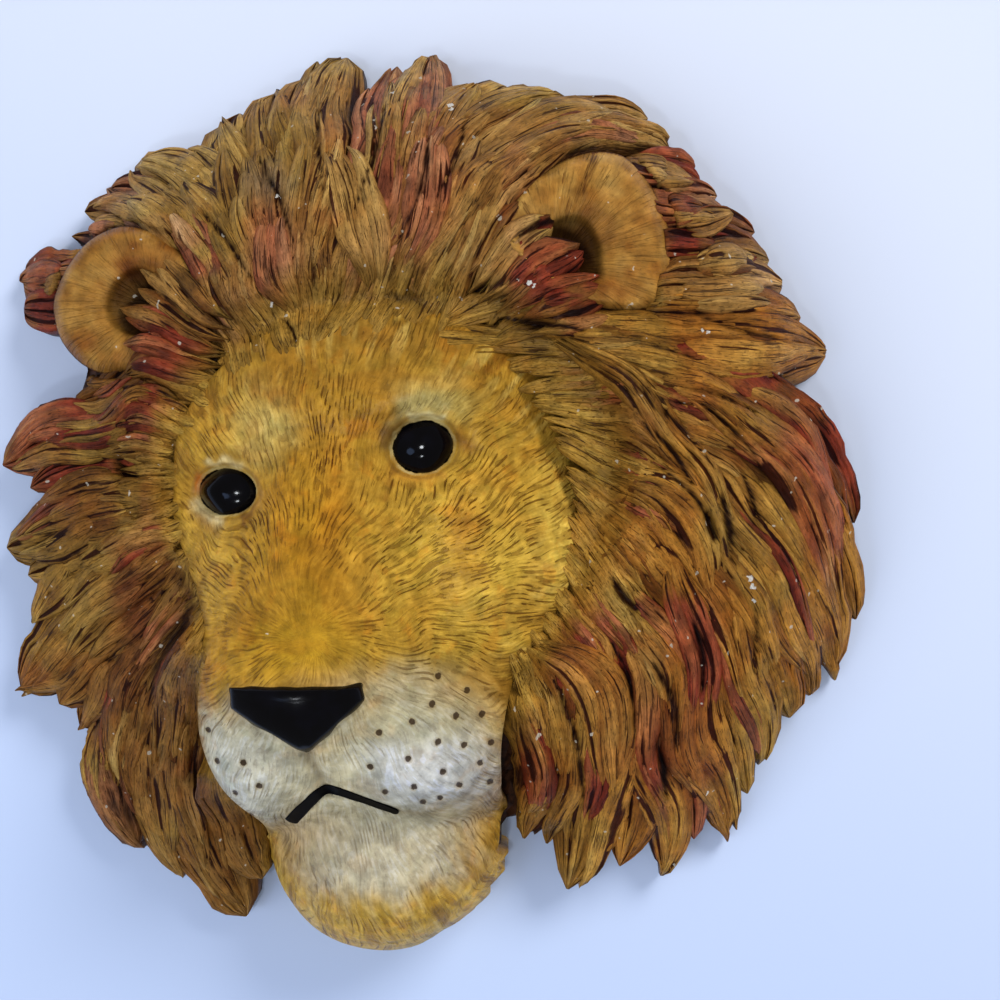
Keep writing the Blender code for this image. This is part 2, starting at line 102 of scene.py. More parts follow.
# Each lock: root, a place it passes half way, tip, width, how blunt its tip is, and its paint. The order
# runs clockwise round the head from below the left cheek to below the right one.
LOCKS = {
    "left_1": ((-46, -35), (-52, -67), (-42, -96), 20, 0.7, "left"),
    "left_2": ((-49, -31), (-60, -59), (-57, -86), 13, 0.9, "left"),
    "left_3": ((-52, -25), (-71, -54), (-67, -80), 13, 0.7, "plum"),
    "left_4": ((-54, -19), (-65, -36), (-80, -52), 17, 0.8, "left"),
    "left_5": ((-55, -13), (-74, -27), (-94, -44), 20, 0.7, "left"),
    "left_6": ((-55, -8), (-74, -17), (-90, -28), 16, 0.8, "left"),
    "left_7": ((-56, 0), (-76, -6), (-97, -11), 17, 0.7, "left"),
    "left_8": ((-54, 13), (-74, 15), (-98, 8), 20, 0.9, "red"),
    "left_9": ((-48, 25), (-62, 27), (-81, 22), 14, 0.8, "left"),
    "ear_tuft_5": ((-69, 47), (-84, 50), (-95, 51), 16, 0.6, "red"),
    "ear_tuft_6": ((-50, 46), (-64, 63), (-80, 67), 10, 0.8, "crown"),
    "ear_tuft_7": ((-44, 44), (-57, 64), (-74, 72), 13, 0.7, "rose"),
    "crown_8": ((-38, 41), (-50, 64), (-68, 77), 17, 0.5, "crown"),
    "crown_9": ((-34, 39), (-44, 62), (-54, 79), 15, 0.5, "crown"),
    "crown_10": ((-31, 38), (-40, 62), (-46, 86), 17, 0.5, "crown"),
    "crown_11": ((-29, 38), (-34, 66), (-35, 93), 18, 0.5, "crown"),
    "crown_1": ((-27, 38), (-28, 67), (-26, 102), 12, 0.7, "crown"),
    "crown_2": ((-24, 38), (-23, 67), (-19, 102.5), 20, 0.5, "crown"),
    "crown_3": ((-20, 39), (-11, 67), (-7, 99), 12, 0.8, "rose"),
    "crown_4": ((-16, 40), (-3, 69), (1, 102.5), 15, 0.6, "rose"),
    "crown_5": ((-11, 42), (0, 66), (11, 91), 20, 0.4, "crown"),
    "crown_6": ((-7, 43), (9, 70), (27, 91), 18, 0.4, "crown"),
    "crown_7": ((-3, 43), (16, 69), (41, 86), 18, 0.5, "crown"),
    "above_ear": ((4, 43), (28, 76), (55, 80), 14, 0.6, "crown"),
    "ear_tuft_1": ((42, 70), (52, 72), (62, 71), 10, 0.8, "red"),
    "ear_tuft_2": ((46, 64), (56, 64), (68, 64), 11, 0.9, "rose"),
    "ear_tuft_3": ((49, 57), (62, 57), (76, 55), 12, 0.9, "red"),
    "ear_tuft_4": ((48, 47), (64, 48), (80, 48), 14, 0.8, "right"),
    "right_1": ((25, 36), (58, 33), (91, 33), 20, 0.7, "right"),
    "right_2": ((38, 27), (75, 18), (94, -16), 15, 0.7, "red"),
    "right_3": ((36, 20), (74, 1), (94, -40), 19, 0.7, "right"),
    "right_4": ((35, 13), (66, -10), (88, -45), 22, 0.8, "right"),
    "right_5": ((34, 4), (61, -24), (75, -60), 23, 0.6, "right"),
    "right_6": ((33, -4), (54, -38), (69, -78), 17, 0.8, "right"),
    "right_7": ((32, -13), (50, -47), (55, -86), 14, 0.7, "red"),
    "right_8": ((26, -24), (39, -51), (32, -89), 22, 1.0, "right"),
    "right_9": ((20, -36), (26, -58), (24, -77), 14, 0.8, "right"),
}
LOCK_DOME, LOCK_WIDEST = 0.40, 0.45
ROOT_SINK, ROOT_REACH = 3.5, 0.3
LOCK_START = -0.2
# Each tier of locks: where it starts and ends along the lock, its share of the width, its step aside as a
# share of the width, its lift, its columns and rows, and where its seeds start
LOCK_TIERS = (
    (LOCK_START, 1.0, 1.0, 0.0, 0.0, (50, 30), 3000),
    (0.26, 0.90, 0.62, 0.42, 2.0, (34, 24), 4000),
    (-0.16, 0.60, 0.60, -0.08, 3.2, (34, 24), 4100),
)
# The mane's regions, in the order of their pieces. The list of locks runs from the left over the crown to
# the right, and these numbers say where in it the crown and the right start.
REGIONS = ("crown", "right", "left")
FIRST_CROWN_LOCK, FIRST_RIGHT_LOCK = 9, 28
# Each ear: its outline, the middle of its hollow, its plane (level there and slopes) and its hollow's depth
EARS = {
    "right": (
        ((16, 56), (21, 67), (33, 75), (44, 75), (52, 64), (54, 50), (50, 41), (34, 42)),
        (28, 51),
        (43, -0.2, -0.25),
        9,
    ),
    "left": (
        ((-47, 45), (-53, 55), (-66, 61), (-77, 57), (-84, 45), (-81, 34), (-71, 28), (-56, 31)),
        (-60, 43),
        (28.4, 0.25, 0.0),
        6,
    ),
}
EAR_RIM_PLACE, EAR_ROLL = 0.76, 5.0
EAR_BOWL_PLACE = 0.62
EAR_DIP, EAR_DIP_REACH = 14.0, 0.80
EAR_TONE = {"right": 0.46, "left": 0.32}
EAR_INNER_EDGE = {"right": 0.35, "left": 0.40}
EAR_HAIR = {
    "right_a": ((10, 44), (18, 52), (29, 63), 8, "crown"),
    "right_b": ((14, 42), (24, 50), (36, 60), 8, "red"),
    "right_c": ((18, 40), (29, 46), (42, 54), 8, "red"),
    "right_d": ((22, 38), (34, 42), (46, 48), 8, "red"),
    "left_a": ((-42, 38), (-51, 44), (-60, 53), 7, "crown"),
    "left_b": ((-42, 35), (-53, 40), (-65, 48), 8, "crown"),
    "left_c": ((-43, 32), (-54, 35), (-67, 40), 8, "red"),
    "left_d": ((-44, 29), (-54, 30), (-65, 33), 7, "red"),
}
EAR_HAIR_LIFT = 2.5
EAR_HAIR_REACH = {"right": 0.62, "left": 0.92}

# Locks that stand out on top of the mane: places, width and paint
CURLS = {
    "whorl_curl": ((-10.6, 43.4), (-12.8, 60.7), (-22.5, 76), 9, "crown"),
    "red_left_of_whorl": ((-26.9, 39), (-32.3, 52), (-33.4, 64), 8, "rose"),
    "red_right_of_whorl": ((-5.2, 45.5), (1.3, 65), (3.5, 80), 9, "rose"),
    "red_streak_right": ((53.4, -13), (57.7, -30.4), (62, -51), 8, "red"),
    "red_streak_low": ((21, -45), (24.5, -58), (28, -71), 7, "red"),
    "long_red_lock": ((54, 27), (80, 10.5), (93, -22), 10.5, "red"),
    "upper_sweep": ((25, 37), (50, 19), (69, -14), 9, "right"),
    "middle_sweep": ((38, 6.5), (57.7, -4.3), (64.5, -23), 9, "right"),
    "over_right_brow": ((3, 37), (17, 43), (36, 45.5), 6, "crown"),
    "beside_right_brow": ((13, 33), (27, 39), (46, 39), 7, "right"),
    "lower_sweep": ((21, -30), (38.5, -43), (43.5, -66), 10, "right"),
}

# Paints, each from the wash in the hollows to the brushed tops, as they look on a screen
PAINTS = {
    "right": ((42, 11, 3), (90, 44, 10), (138, 87, 29), (172, 121, 49), (204, 162, 86)),
    "left": ((36, 9, 2), (74, 36, 9), (114, 73, 27), (146, 106, 50), (176, 144, 84)),
    "crown": ((50, 17, 4), (94, 53, 17), (138, 98, 46), (168, 131, 72), (198, 168, 108)),
    "red": ((44, 6, 3), (86, 22, 11), (122, 50, 30), (156, 92, 56), (190, 144, 94)),
    "rose": ((58, 15, 7), (106, 47, 29), (142, 83, 54), (170, 118, 82), (196, 160, 120)),
    "plum": ((50, 18, 8), (80, 38, 20), (104, 60, 34), (132, 86, 52), (164, 124, 82)),
    "olive": ((48, 28, 6), (94, 66, 20), (136, 106, 42), (166, 136, 66), (196, 168, 100)),
    "gold": ((84, 50, 10), (126, 88, 26), (154, 116, 44), (180, 144, 62), (204, 174, 92)),
    "brow": ((66, 40, 8), (100, 70, 22), (130, 96, 36), (156, 120, 52), (180, 148, 76)),
    "dark": ((34, 8, 3), (58, 18, 7), (86, 38, 16), (112, 62, 30), (140, 94, 54)),
    "smoke": ((48, 28, 16), (80, 58, 36), (112, 88, 60), (138, 114, 84), (170, 148, 116)),
    "ear": ((84, 40, 8), (122, 76, 26), (148, 104, 44), (168, 126, 62), (188, 152, 84)),
}
# Paints that a lock or wisp has of its own; all the others are painted like the ground round them
OWN_PAINTS = ("red", "rose", "plum")


def smooth_step(t):
    """An eased share from 0 to 1: three times the square less twice the cube."""
    t = np.clip(t, 0.0, 1.0)
    return t * t * (3 - 2 * t)


def bell(distance, width):
    """A bell curve: 1 at no distance, and next to nothing at two widths."""
    return np.exp(-((distance / width) ** 2))


def laid_over(under, over, share):
    """A colour with another laid over it, as strongly as the share at each place says."""
    return under + share[..., None] * (over - under)


def screen_colour(colour):
    """A colour given as it looks on a screen, from 0 to 255, as the light it stands for."""
    share = np.asarray(colour, float) / 255.0
    return np.where(share <= 0.04045, share / 12.92, ((share + 0.055) / 1.055) ** 2.4)


def paint_at(name, tone):
    """A paint's colour at each tone from 0, the wash in the hollows, to 1, the brushed tops."""
    steps = screen_colour(PAINTS[name])
    places = np.linspace(0, 1, len(steps))
    return np.stack([np.interp(tone, places, steps[:, channel]) for channel in range(3)], axis=-1)


def cell_value(i, j, k, seed):
    """A fixed number from 0 to 1 for each whole cell: its indices are multiplied, added and folded over."""
    i, j, k = (v.astype(np.int64).astype(np.uint32) for v in (i, j, k))
    mixed = i * np.uint32(374761393) + j * np.uint32(668265263) + k * np.uint32(1274126177)
    mixed = mixed + np.uint32((seed * 2654435) % 4294967296)
    mixed = (mixed ^ (mixed >> np.uint32(13))) * np.uint32(1103515245)
    mixed = (mixed ^ (mixed >> np.uint32(15))) * np.uint32(2246822519)
    return (mixed ^ (mixed >> np.uint32(16))) / 4294967295.0


def grain(x, y, z=0.0, seed=0):
    """Smooth noise from 0 to 1: the values of the eight cells round each place, blended by eased shares."""
    x, y, z = np.broadcast_arrays(np.asarray(x, float), np.asarray(y, float), np.asarray(z, float))
    corner = [np.floor(v) for v in (x, y, z)]
    share = [smooth_step(v - c) for v, c in zip((x, y, z), corner)]
    total = np.zeros(x.shape)
    for step in np.ndindex(2, 2, 2):
        weight = np.ones(x.shape)
        for axis in range(3):
            weight = weight * (share[axis] if step[axis] else 1 - share[axis])
        total = total + weight * cell_value(*(corner[axis] + step[axis] for axis in range(3)), seed)
    return total


def turned(across, up, centre, degrees):
    """Places seen from a centre, with the axes turned anticlockwise by degrees."""
    angle = np.radians(degrees)
    dx, dz = across - centre[0], up - centre[1]
    return dx * np.cos(angle) + dz * np.sin(angle), dz * np.cos(angle) - dx * np.sin(angle)


def along_line(across, up, start, end):
    """For each place, its share along the line from start to end, and its distance from that line."""
    (ax, az), (bx, bz) = start, end
    length_squared = (bx - ax) ** 2 + (bz - az) ** 2
    share = np.clip(((across - ax) * (bx - ax) + (up - az) * (bz - az)) / length_squared, 0, 1)
    return share, np.hypot(across - ax - share * (bx - ax), up - az - share * (bz - az))


def inside_corners(across, up, corners):
    """Distance inside a convex outline of clockwise corners; negative outside."""
    inside = np.full(np.shape(across), np.inf)
    for (ax, az), (bx, bz) in zip(corners, corners[1:] + corners[:1]):
        edge_x, edge_z = bx - ax, bz - az
        distance = ((across - ax) * -edge_z + (up - az) * edge_x) / -np.hypot(edge_x, edge_z)
        inside = np.minimum(inside, distance)
    return inside


def line_distance(across, up, places):
    """Distance from a run of places joined by straight lines."""
    nearest = np.full(np.shape(across), np.inf)
    for start, end in zip(places, places[1:]):
        nearest = np.minimum(nearest, along_line(across, up, start, end)[1])
    return nearest


def patch(across, up, centre, radii, turn, sharp):
    """A soft oval patch as a share from 0 to 1; the sharper it is, the flatter its inside and the shorter
    its edge."""
    dx, dz = turned(across, up, centre, turn)
    return np.exp(-(np.hypot(dx / radii[0], dz / radii[1]) ** sharp))


def seen_place(right_of, down, level):
    """The place on the plaque that shows at a spot of the picture, for a surface at this level."""
    nearer = (1 - level / VIEW_DISTANCE) / VIEW_SCALE
    middle = PICTURE_SIZE / 2
    return VIEW_ACROSS + (right_of - middle) * nearer, (middle - down) * nearer


def head_level(across, up):
    """The head's surface. Each mass falls from its top by a power of the distance from its middle, and the
    nose's bridge by the square of the distance from its line; they run together as the logarithm of their
    summed exponentials. Then come sockets, nose, the split of the lip and the mouth with eased edges, and
    lids as bell curves."""
    levels = []
    for x, z, half_width, half_height, turn, top, drop, square in MASSES.values():
        dx, dz = turned(across, up, (x, z), turn)
        radius = np.hypot(dx / half_width, dz / half_height)
        levels.append(top - drop * radius**square)
    share, distance = along_line(across, up, BRIDGE_TOP, BRIDGE_FOOT)
    crest = BRIDGE_TOP_LEVEL + (BRIDGE_FOOT_LEVEL - BRIDGE_TOP_LEVEL) * share
    levels.append(crest - BRIDGE_DROP * (distance / BRIDGE_HALF_WIDTH) ** 2)
    level = MASS_BLEND * np.logaddexp.reduce(np.array(levels) / MASS_BLEND, axis=0)
    for x, z, half_width, half_height, turn in EYES.values():
        dx, dz = turned(across, up, (x, z), turn)
        radius = np.hypot(dx / half_width, dz / half_height)
        level = level - SOCKET_DEPTH * (1 - smooth_step(radius / SOCKET_REACH))
        over_eye = LOWER_LID + (1 - LOWER_LID) * smooth_step((dz + 1) / 4)
        level = level + LID_PROUD * over_eye * bell(radius - LID_PLACE, LID_WIDTH)
    nose = inside_corners(across, up, NOSE_CORNERS)
    level = level + NOSE_PROUD * smooth_step(nose / NOSE_EDGE + 0.5)
    split = line_distance(across, up, LIP_SPLIT)
    level = level - SPLIT_DEPTH * (1 - smooth_step(split / SPLIT_HALF_WIDTH))
    mouth = line_distance(across, up, MOUTH)
    return level - MOUTH_DEPTH * (1 - smooth_step(mouth / MOUTH_HALF_WIDTH))


def bead_level(side, across, up):
    """An eye bead's surface: a plane tilted less than the socket's rim, with a round dome; and how far
    each place is from its middle as a share of the distance to its rim."""
    x, z = EYES[side][:2]
    half_width, half_height, turn, level, slope_across, slope_up = BEADS[side]
    dx, dz = turned(across, up, (x, z), turn)
    radius = np.hypot(dx / half_width, dz / half_height)
    dome = np.sqrt(np.clip(1 - BEAD_ROUND * radius**2, 0, None)) - np.sqrt(1 - BEAD_ROUND)
    return level + slope_across * (across - x) + slope_up * (up - z) + BEAD_DOME * dome, radius


def mane_radius(across, up):
    """How far each place is from the mane's middle as a share of the distance to its rim."""
    return np.hypot((across - SWEEP_CENTRE[0]) / SWEEP_RADII[0], (up - SWEEP_CENTRE[1]) / SWEEP_RADII[1])


def mane_level(across, up):
    """The mane's general surface: a tilted plane round the face that falls to the tips' level by the
    square of the distance past the ruff."""
    ruff = RUFF_LEVEL + RUFF_ACROSS * across + RUFF_UP * up
    out = np.clip((mane_radius(across, up) - RUFF_REACH) / (1 - RUFF_REACH), 0, 1.15)
    return TIP_LEVEL + (ruff - TIP_LEVEL) * (1 - out**2)


def closed_curve(places, count):
    """count places round a smooth closed curve through the given ones: between each two, a cubic whose
    slopes at them come from their neighbours."""
    points = np.array(places, float)
    t = np.arange(count) * len(points) / count
    index, share = t.astype(int), (t % 1)[:, None]
    a, b, c, d = (points[(index + k) % len(points)] for k in (-1, 0, 1, 2))
    return b + 0.5 * share * (c - a + share * (2 * a - 5 * b + 4 * c - d + share * (3 * (b - c) + d - a)))


def outline_ratio(across, up, outline, centre):
    """How far each place is from the centre as a share of the outline's distance in the same direction."""
    edge = outline - np.array(centre, float)
    edge_bearing = np.arctan2(edge[:, 1], edge[:, 0])
    order = np.argsort(edge_bearing)
    bearing = np.arctan2(up - centre[1], across - centre[0])
    reach = np.interp(bearing, edge_bearing[order], np.hypot(*edge[order].T), period=2 * np.pi)
    return np.hypot(across - centre[0], up - centre[1]) / reach


FACE_OUTLINE = closed_curve(FACE_EDGE, 720)
EAR_OUTLINES = {side: closed_curve(values[0], 192) for side, values in EARS.items()}


def face_ratio(across, up):
    """How far each place is from the face's centre as a share of the distance to its edge."""
    return outline_ratio(across, up, FACE_OUTLINE, FACE_CENTRE)


def ear_ratio(side, across, up):
    """How far each place is from an ear's hollow as a share of the distance to its rim."""
    return outline_ratio(across, up, EAR_OUTLINES[side], EARS[side][1])


def edge_fall(across, up, ratio):
    """How far the face's edge rounds down, by a quarter circle: fully where its outline shows at the
    chin, and little under the mane."""
    fall = HIDDEN_EDGE_FALL + (FACE_EDGE_FALL - HIDDEN_EDGE_FALL) * smooth_step((-46 - up) / 18)
    past = np.clip((ratio - 1) / EDGE_REACH + 1, 0, 1)
    return fall * (1 - np.sqrt(1 - past**2))


def face_level(across, up):
    """The face's surface with its edge rounded down; past its edge it keeps the edge's level."""
    ratio = face_ratio(across, up)
    back = np.minimum(1 / np.maximum(ratio, 1e-6), 1.0)
    x = FACE_CENTRE[0] + (across - FACE_CENTRE[0]) * back
    z = FACE_CENTRE[1] + (up - FACE_CENTRE[1]) * back
    return head_level(x, z) - edge_fall(across, up, ratio)


def ear_dip(across, up, reach=EAR_DIP_REACH):
    """How far the mane sinks under the ears: fully inside the given share of an ear's outline, and not
    outside it."""
    inside = [1 - smooth_step((ear_ratio(side, across, up) - reach) / 0.16) for side in EARS]
    return EAR_DIP * np.maximum(*inside)


def ear_level(side, across, up):
    """An ear's surface: a tilted plane, less a hollow with an eased edge, less a rim that rolls down by
    the cube of the distance past it."""
    _, (x, z), (level, slope_across, slope_up), depth = EARS[side]
    radius = ear_ratio(side, across, up)
    bowl = depth * (1 - smooth_step(radius / EAR_BOWL_PLACE))
    roll = EAR_ROLL * np.clip((radius - EAR_RIM_PLACE) / (1 - EAR_RIM_PLACE), 0, 1) ** 3
    return level + slope_across * (across - x) + slope_up * (up - z) - bowl - roll


def lock_width(share, point):
    """A lock's width along it as a share of its greatest: an eased swell from the root, then a power
    curve that narrows to its tip."""
    swell = 0.5 + 0.5 * smooth_step(share / LOCK_WIDEST)
    narrow = np.clip((share - LOCK_WIDEST) / (1 - LOCK_WIDEST), 0, 1)
    return swell * np.clip(1 - narrow**2.4, 0.0, 1) ** point + 0.03


def pinched_root(share):
    """A factor that narrows a lock to a stem at its root."""
    return 0.12 + 0.88 * smooth_step(share / 0.25)


def spine_at(root, bend, tip, share):
    """Places along the parabola from root to tip that passes bend half way, and the unit step to its
    side."""
    root, bend, tip = (np.array(p, float) for p in (root, bend, tip))
    control = 2 * bend - (root + tip) / 2
    s = share[:, None]
    place = (1 - s) ** 2 * root + 2 * s * (1 - s) * control + s**2 * tip
    run = (1 - s) * (control - root) + s * (tip - control)
    run /= np.linalg.norm(run, axis=1)[:, None]
    return place, np.column_stack([-run[:, 1], run[:, 0]])


def sideways(places):
    """The unit step to the side at each place of a line, and the length of the line's steps."""
    run = np.gradient(places, axis=0)
    length = np.hypot(run[:, 0], run[:, 1])
    return np.column_stack([-run[:, 1], run[:, 0]]) / length[:, None], length


# Closed shells and pieces


def closed_shell(loops, paint, wash_and_shade, strand):
    """A closed shell through loops of places (loop, place, 3): quads between neighbouring loops, and each
    end loop zipped shut by quads from one side to the other. Its volume's sign decides which way its faces
    turn, so that they look outwards."""
    rings, count = loops.shape[:2]
    ring, step = np.meshgrid(np.arange(rings - 1) * count, np.arange(count), indexing="ij")
    after = (step + 1) % count
    sides = np.stack([ring + step, ring + after, ring + count + after, ring + count + step], axis=-1)
    i = np.arange(count // 2 - 1)
    last = (rings - 1) * count
    first_cap = np.column_stack([i + 1, i, count - 1 - i, count - 2 - i])
    last_cap = last + np.column_stack([i, i + 1, count - 2 - i, count - 1 - i])
    quads = np.vstack([sides.reshape(-1, 4), first_cap, last_cap])
    drawn = loops.reshape(-1, 3)
    real = np.column_stack([drawn[:, 0], -drawn[:, 2], drawn[:, 1]]) * MM
    a, b, c, d = (real[quads[:, k]] for k in range(4))
    volume = np.einsum("ij,ij->", a, np.cross(b, c)) + np.einsum("ij,ij->", a, np.cross(c, d))
    if volume < 0:
        quads = quads[:, ::-1]
    return {
        "points": real,
        "quads": quads,
        "paint": np.asarray(paint, float).reshape(-1, 3),
        "wash_and_shade": np.asarray(wash_and_shade, float).reshape(-1),
        "strand": np.asarray(strand, float).reshape(-1, 2),
        "loops": loops,
    }


def foot_level(across, up):
    """The level that a shell's sides reach down to: near the back, but in front of the nail pocket over
    it."""
    over_pocket = (np.abs(across) < CLEAR_ACROSS) & (up > CLEAR_LOW) & (up < CLEAR_HIGH)
    return np.where(over_pocket, POCKET_FRONT, FOOT_LEVEL)


def with_feet(top):
    """Rows of places with a foot added at both ends, straight below on the foot level. Where a row crosses
    the nail pocket, both its feet stand in front of the pocket."""
    across, up = top[..., 0], top[..., 1]
    crosses = (across.min(axis=1) < CLEAR_ACROSS) & (across.max(axis=1) > -CLEAR_ACROSS)
    crosses = crosses & (up.max(axis=1) > CLEAR_LOW) & (up.min(axis=1) < CLEAR_HIGH)
    level = np.where(crosses, POCKET_FRONT, FOOT_LEVEL)[:, None, None]
    feet = [np.concatenate([top[:, [k], :2], level], axis=2) for k in (0, -1)]
    return np.concatenate([feet[0], top, feet[1]], axis=1)


def with_edges(rows):
    """The same values for the feet as for the edge they stand under."""
    return np.concatenate([rows[:, [0]], rows, rows[:, [-1]]], axis=1)


def put_in_scene(name, data):
    """A new object at the origin that shows the given data."""
    made = bpy.data.objects.new(name, data)
    bpy.context.scene.collection.objects.link(made)
    return made


def make_piece(name, shells, material):
    """One smooth mesh object at the origin from closed shells, with its paint, its wash with painted shade,
    and strand map.
    """
    points, quads, start = [], [], 0
    for shell in shells:
        points.append(shell["points"])
        quads.append(shell["quads"] + start)
        start += len(shell["points"])
    mesh = bpy.data.meshes.new(name)
    mesh.from_pydata(np.vstack(points).tolist(), [], np.vstack(quads).tolist())
    mesh.shade_smooth()
    paint = np.vstack([shell["paint"] for shell in shells])
    colours = mesh.attributes.new("paint", "FLOAT_COLOR", "POINT")
    cover = np.concatenate([shell.get("cover", np.ones(len(shell["points"]))) for shell in shells])
    colours.data.foreach_set("color", np.column_stack([paint, cover]).ravel())
    wash_and_shade_layer = mesh.attributes.new("wash_and_shade", "FLOAT", "POINT")
    wash_and_shade_layer.data.foreach_set("value", np.concatenate([shell["wash_and_shade"] for shell in shells]))
    corner = np.zeros(len(mesh.loops), np.int32)
    mesh.loops.foreach_get("vertex_index", corner)
    strand_map = mesh.uv_layers.new(name="strand")
    strand_map.data.foreach_set("uv", np.vstack([shell["strand"] for shell in shells])[corner].ravel())
    mesh.materials.append(material)
    made = put_in_scene(name, mesh)
    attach(made, "root")
    print("PIECE", name, len(mesh.polygons) * 2)
    return made


# Fur

# The place on the nose that the strokes point away from, and the radius of the first ring of strokes
STROKE_CENTRE, STROKE_RING = (-23.0, -28.0), 12.0


def fur_strokes(across, up, width, length, seed):
    """Short strokes that point away from the top of the nose, as noise from 0 to 1. The bearing goes round
    a circle of whole cells and the distance is taken as its logarithm; each doubling of the distance has
    its own circle with twice the cells, and neighbouring circles are blended, so the strokes keep their
    size."""
    sway = 5.0
    bent_x = across - STROKE_CENTRE[0] + sway * (grain(across / 17, up / 17, seed=seed + 1) - 0.5)
    bent_z = up - STROKE_CENTRE[1] + sway * (grain(across / 17, up / 17, seed=seed + 2) - 0.5)
    distance = np.maximum(np.hypot(bent_x, bent_z), 3.0)
    doubling = np.log2(distance / STROKE_RING)
    total = np.zeros(np.shape(across))
    for ring in range(-2, 5):
        share = np.clip(1 - np.abs(doubling - ring), 0, 1)
        cells = STROKE_RING * 2.0**ring
        round_x, round_z = (bent / distance * cells / width for bent in (bent_x, bent_z))
        values = grain(round_x, round_z, np.log(distance) * cells / length, seed + ring)
        total = total + share * values
    return total


def strand_relief(across, along, seed):
    """Carved strands: broad swells, finer ridges and separate grooves, all long along the lock."""
    broad = grain(across / 3.2, along / 17, seed=seed)
    fine = 1 - np.abs(2 * grain(across / 1.5, along / 11, seed=seed + 1) - 1)
    groove = smooth_step((grain(across / 0.85, along / 13, seed=seed + 2) - 0.66) / 0.12)
    return 1.1 * (broad - 0.5) + 0.50 * (fine - 0.5) - 0.8 * groove, broad, fine, groove


# Patches of another paint over the mane: centre in the picture, radii in millimetres, turn, paint and
# strength
MANE_TINTS = (
    ((714, 525), (4, 9), 10, "olive", 0.7), ((662, 768), (2.6, 9), 0, "dark", 0.9),
    ((128, 600), (5, 10), 10, "dark", 0.8), ((702, 655), (3.6, 12), -8, "red", 0.8),
    ((428, 195), (8, 17), -12, "red", 0.55), ((282, 252), (5, 11), 12, "rose", 0.8),
    ((285, 160), (4, 8), 15, "olive", 0.8), ((268, 184), (6, 5), 0, "smoke", 0.8),
    ((95, 175), (8, 7), 0, "rose", 0.35), ((620, 594), (5, 5), 45, "olive", 0.7),
    ((555, 640), (6, 8), 0, "dark", 0.4), ((630, 425), (8, 5), -30, "dark", 0.45),
    ((760, 400), (9, 9), 0, "olive", 0.4), ((118, 688), (9, 5), 35, "dark", 0.5),
    ((175, 520), (5, 12), 0, "dark", 0.35), ((530, 760), (4, 11), 0, "red", 0.5),
    ((715, 455), (9, 6), -40, "olive", 0.35), ((600, 690), (9, 12), 0, "right", 0.5),
    ((245, 300), (6, 8), 0, "dark", 0.4), ((150, 340), (8, 5), 0, "red", 0.5),
    ((560, 275), (9, 6), 20, "red", 0.5),
)


def lock_colour(paint, ground, across, up, share, tones, seed):
    """A lock's paint at each tone. The ground paint drifts to olive and to red in soft patches over the
    mane; red, rose and plum locks start in the ground paint and take on their own along the lock, deeper
    in patches."""
    colour = paint_at(ground, tones)
    reddish = "rose" if ground == "crown" else "red"
    drifts = (("olive", 15, 0.56, 0.45, 5), (reddish, 10, 0.72, 0.28, 6))
    for name, size, limit, strength, drift_seed in drifts:
        drift = grain(across / size, up / size, seed=drift_seed)
        colour = laid_over(colour, paint_at(name, tones), strength * smooth_step((drift - limit) / 0.14))
    ragged = 2.5 * (grain(across / 4, up / 4, seed=8) - 0.5)
    for (right_of, down), radii, turn, name, strength in MANE_TINTS:
        centre = seen_place(right_of, down, MANE_SEEN)
        covered = strength * patch(across + ragged, up - ragged, centre, radii, turn, 3)
        if covered.max() > 0.02:
            colour = laid_over(colour, paint_at(name, tones), covered)
    if paint == ground:
        return colour
    patches = grain(share * 5, tones * 3, seed=seed + 9)
    taken = smooth_step((share - 0.16 + 0.5 * (patches - 0.5)) / 0.25)
    taken = taken * (0.62 + 0.38 * smooth_step((patches - 0.3) / 0.3))
    deep = smooth_step((grain(across / 4, up / 6, seed=seed + 12) - 0.52) / 0.22)
    own = paint_at(paint, tones) * (1.06 - 0.50 * deep)[..., None]
    return laid_over(colour, own, taken)


def waved(places):
    """Places moved by a smooth drift of up to about three millimetres, so neighbouring strands wave
    together. The drift fades out at the mane's rim and on the face."""
    across, up = places[..., 0], places[..., 1]
    share = smooth_step((0.98 - mane_radius(across, up)) / 0.22)
    share = share * smooth_step((face_ratio(across, up) - 1.0) / 0.25)
    drift = np.stack([grain(across / 19, up / 19, seed=seed) - 0.5 for seed in (71, 72)], axis=-1)
    return places + 6.5 * share[..., None] * drift


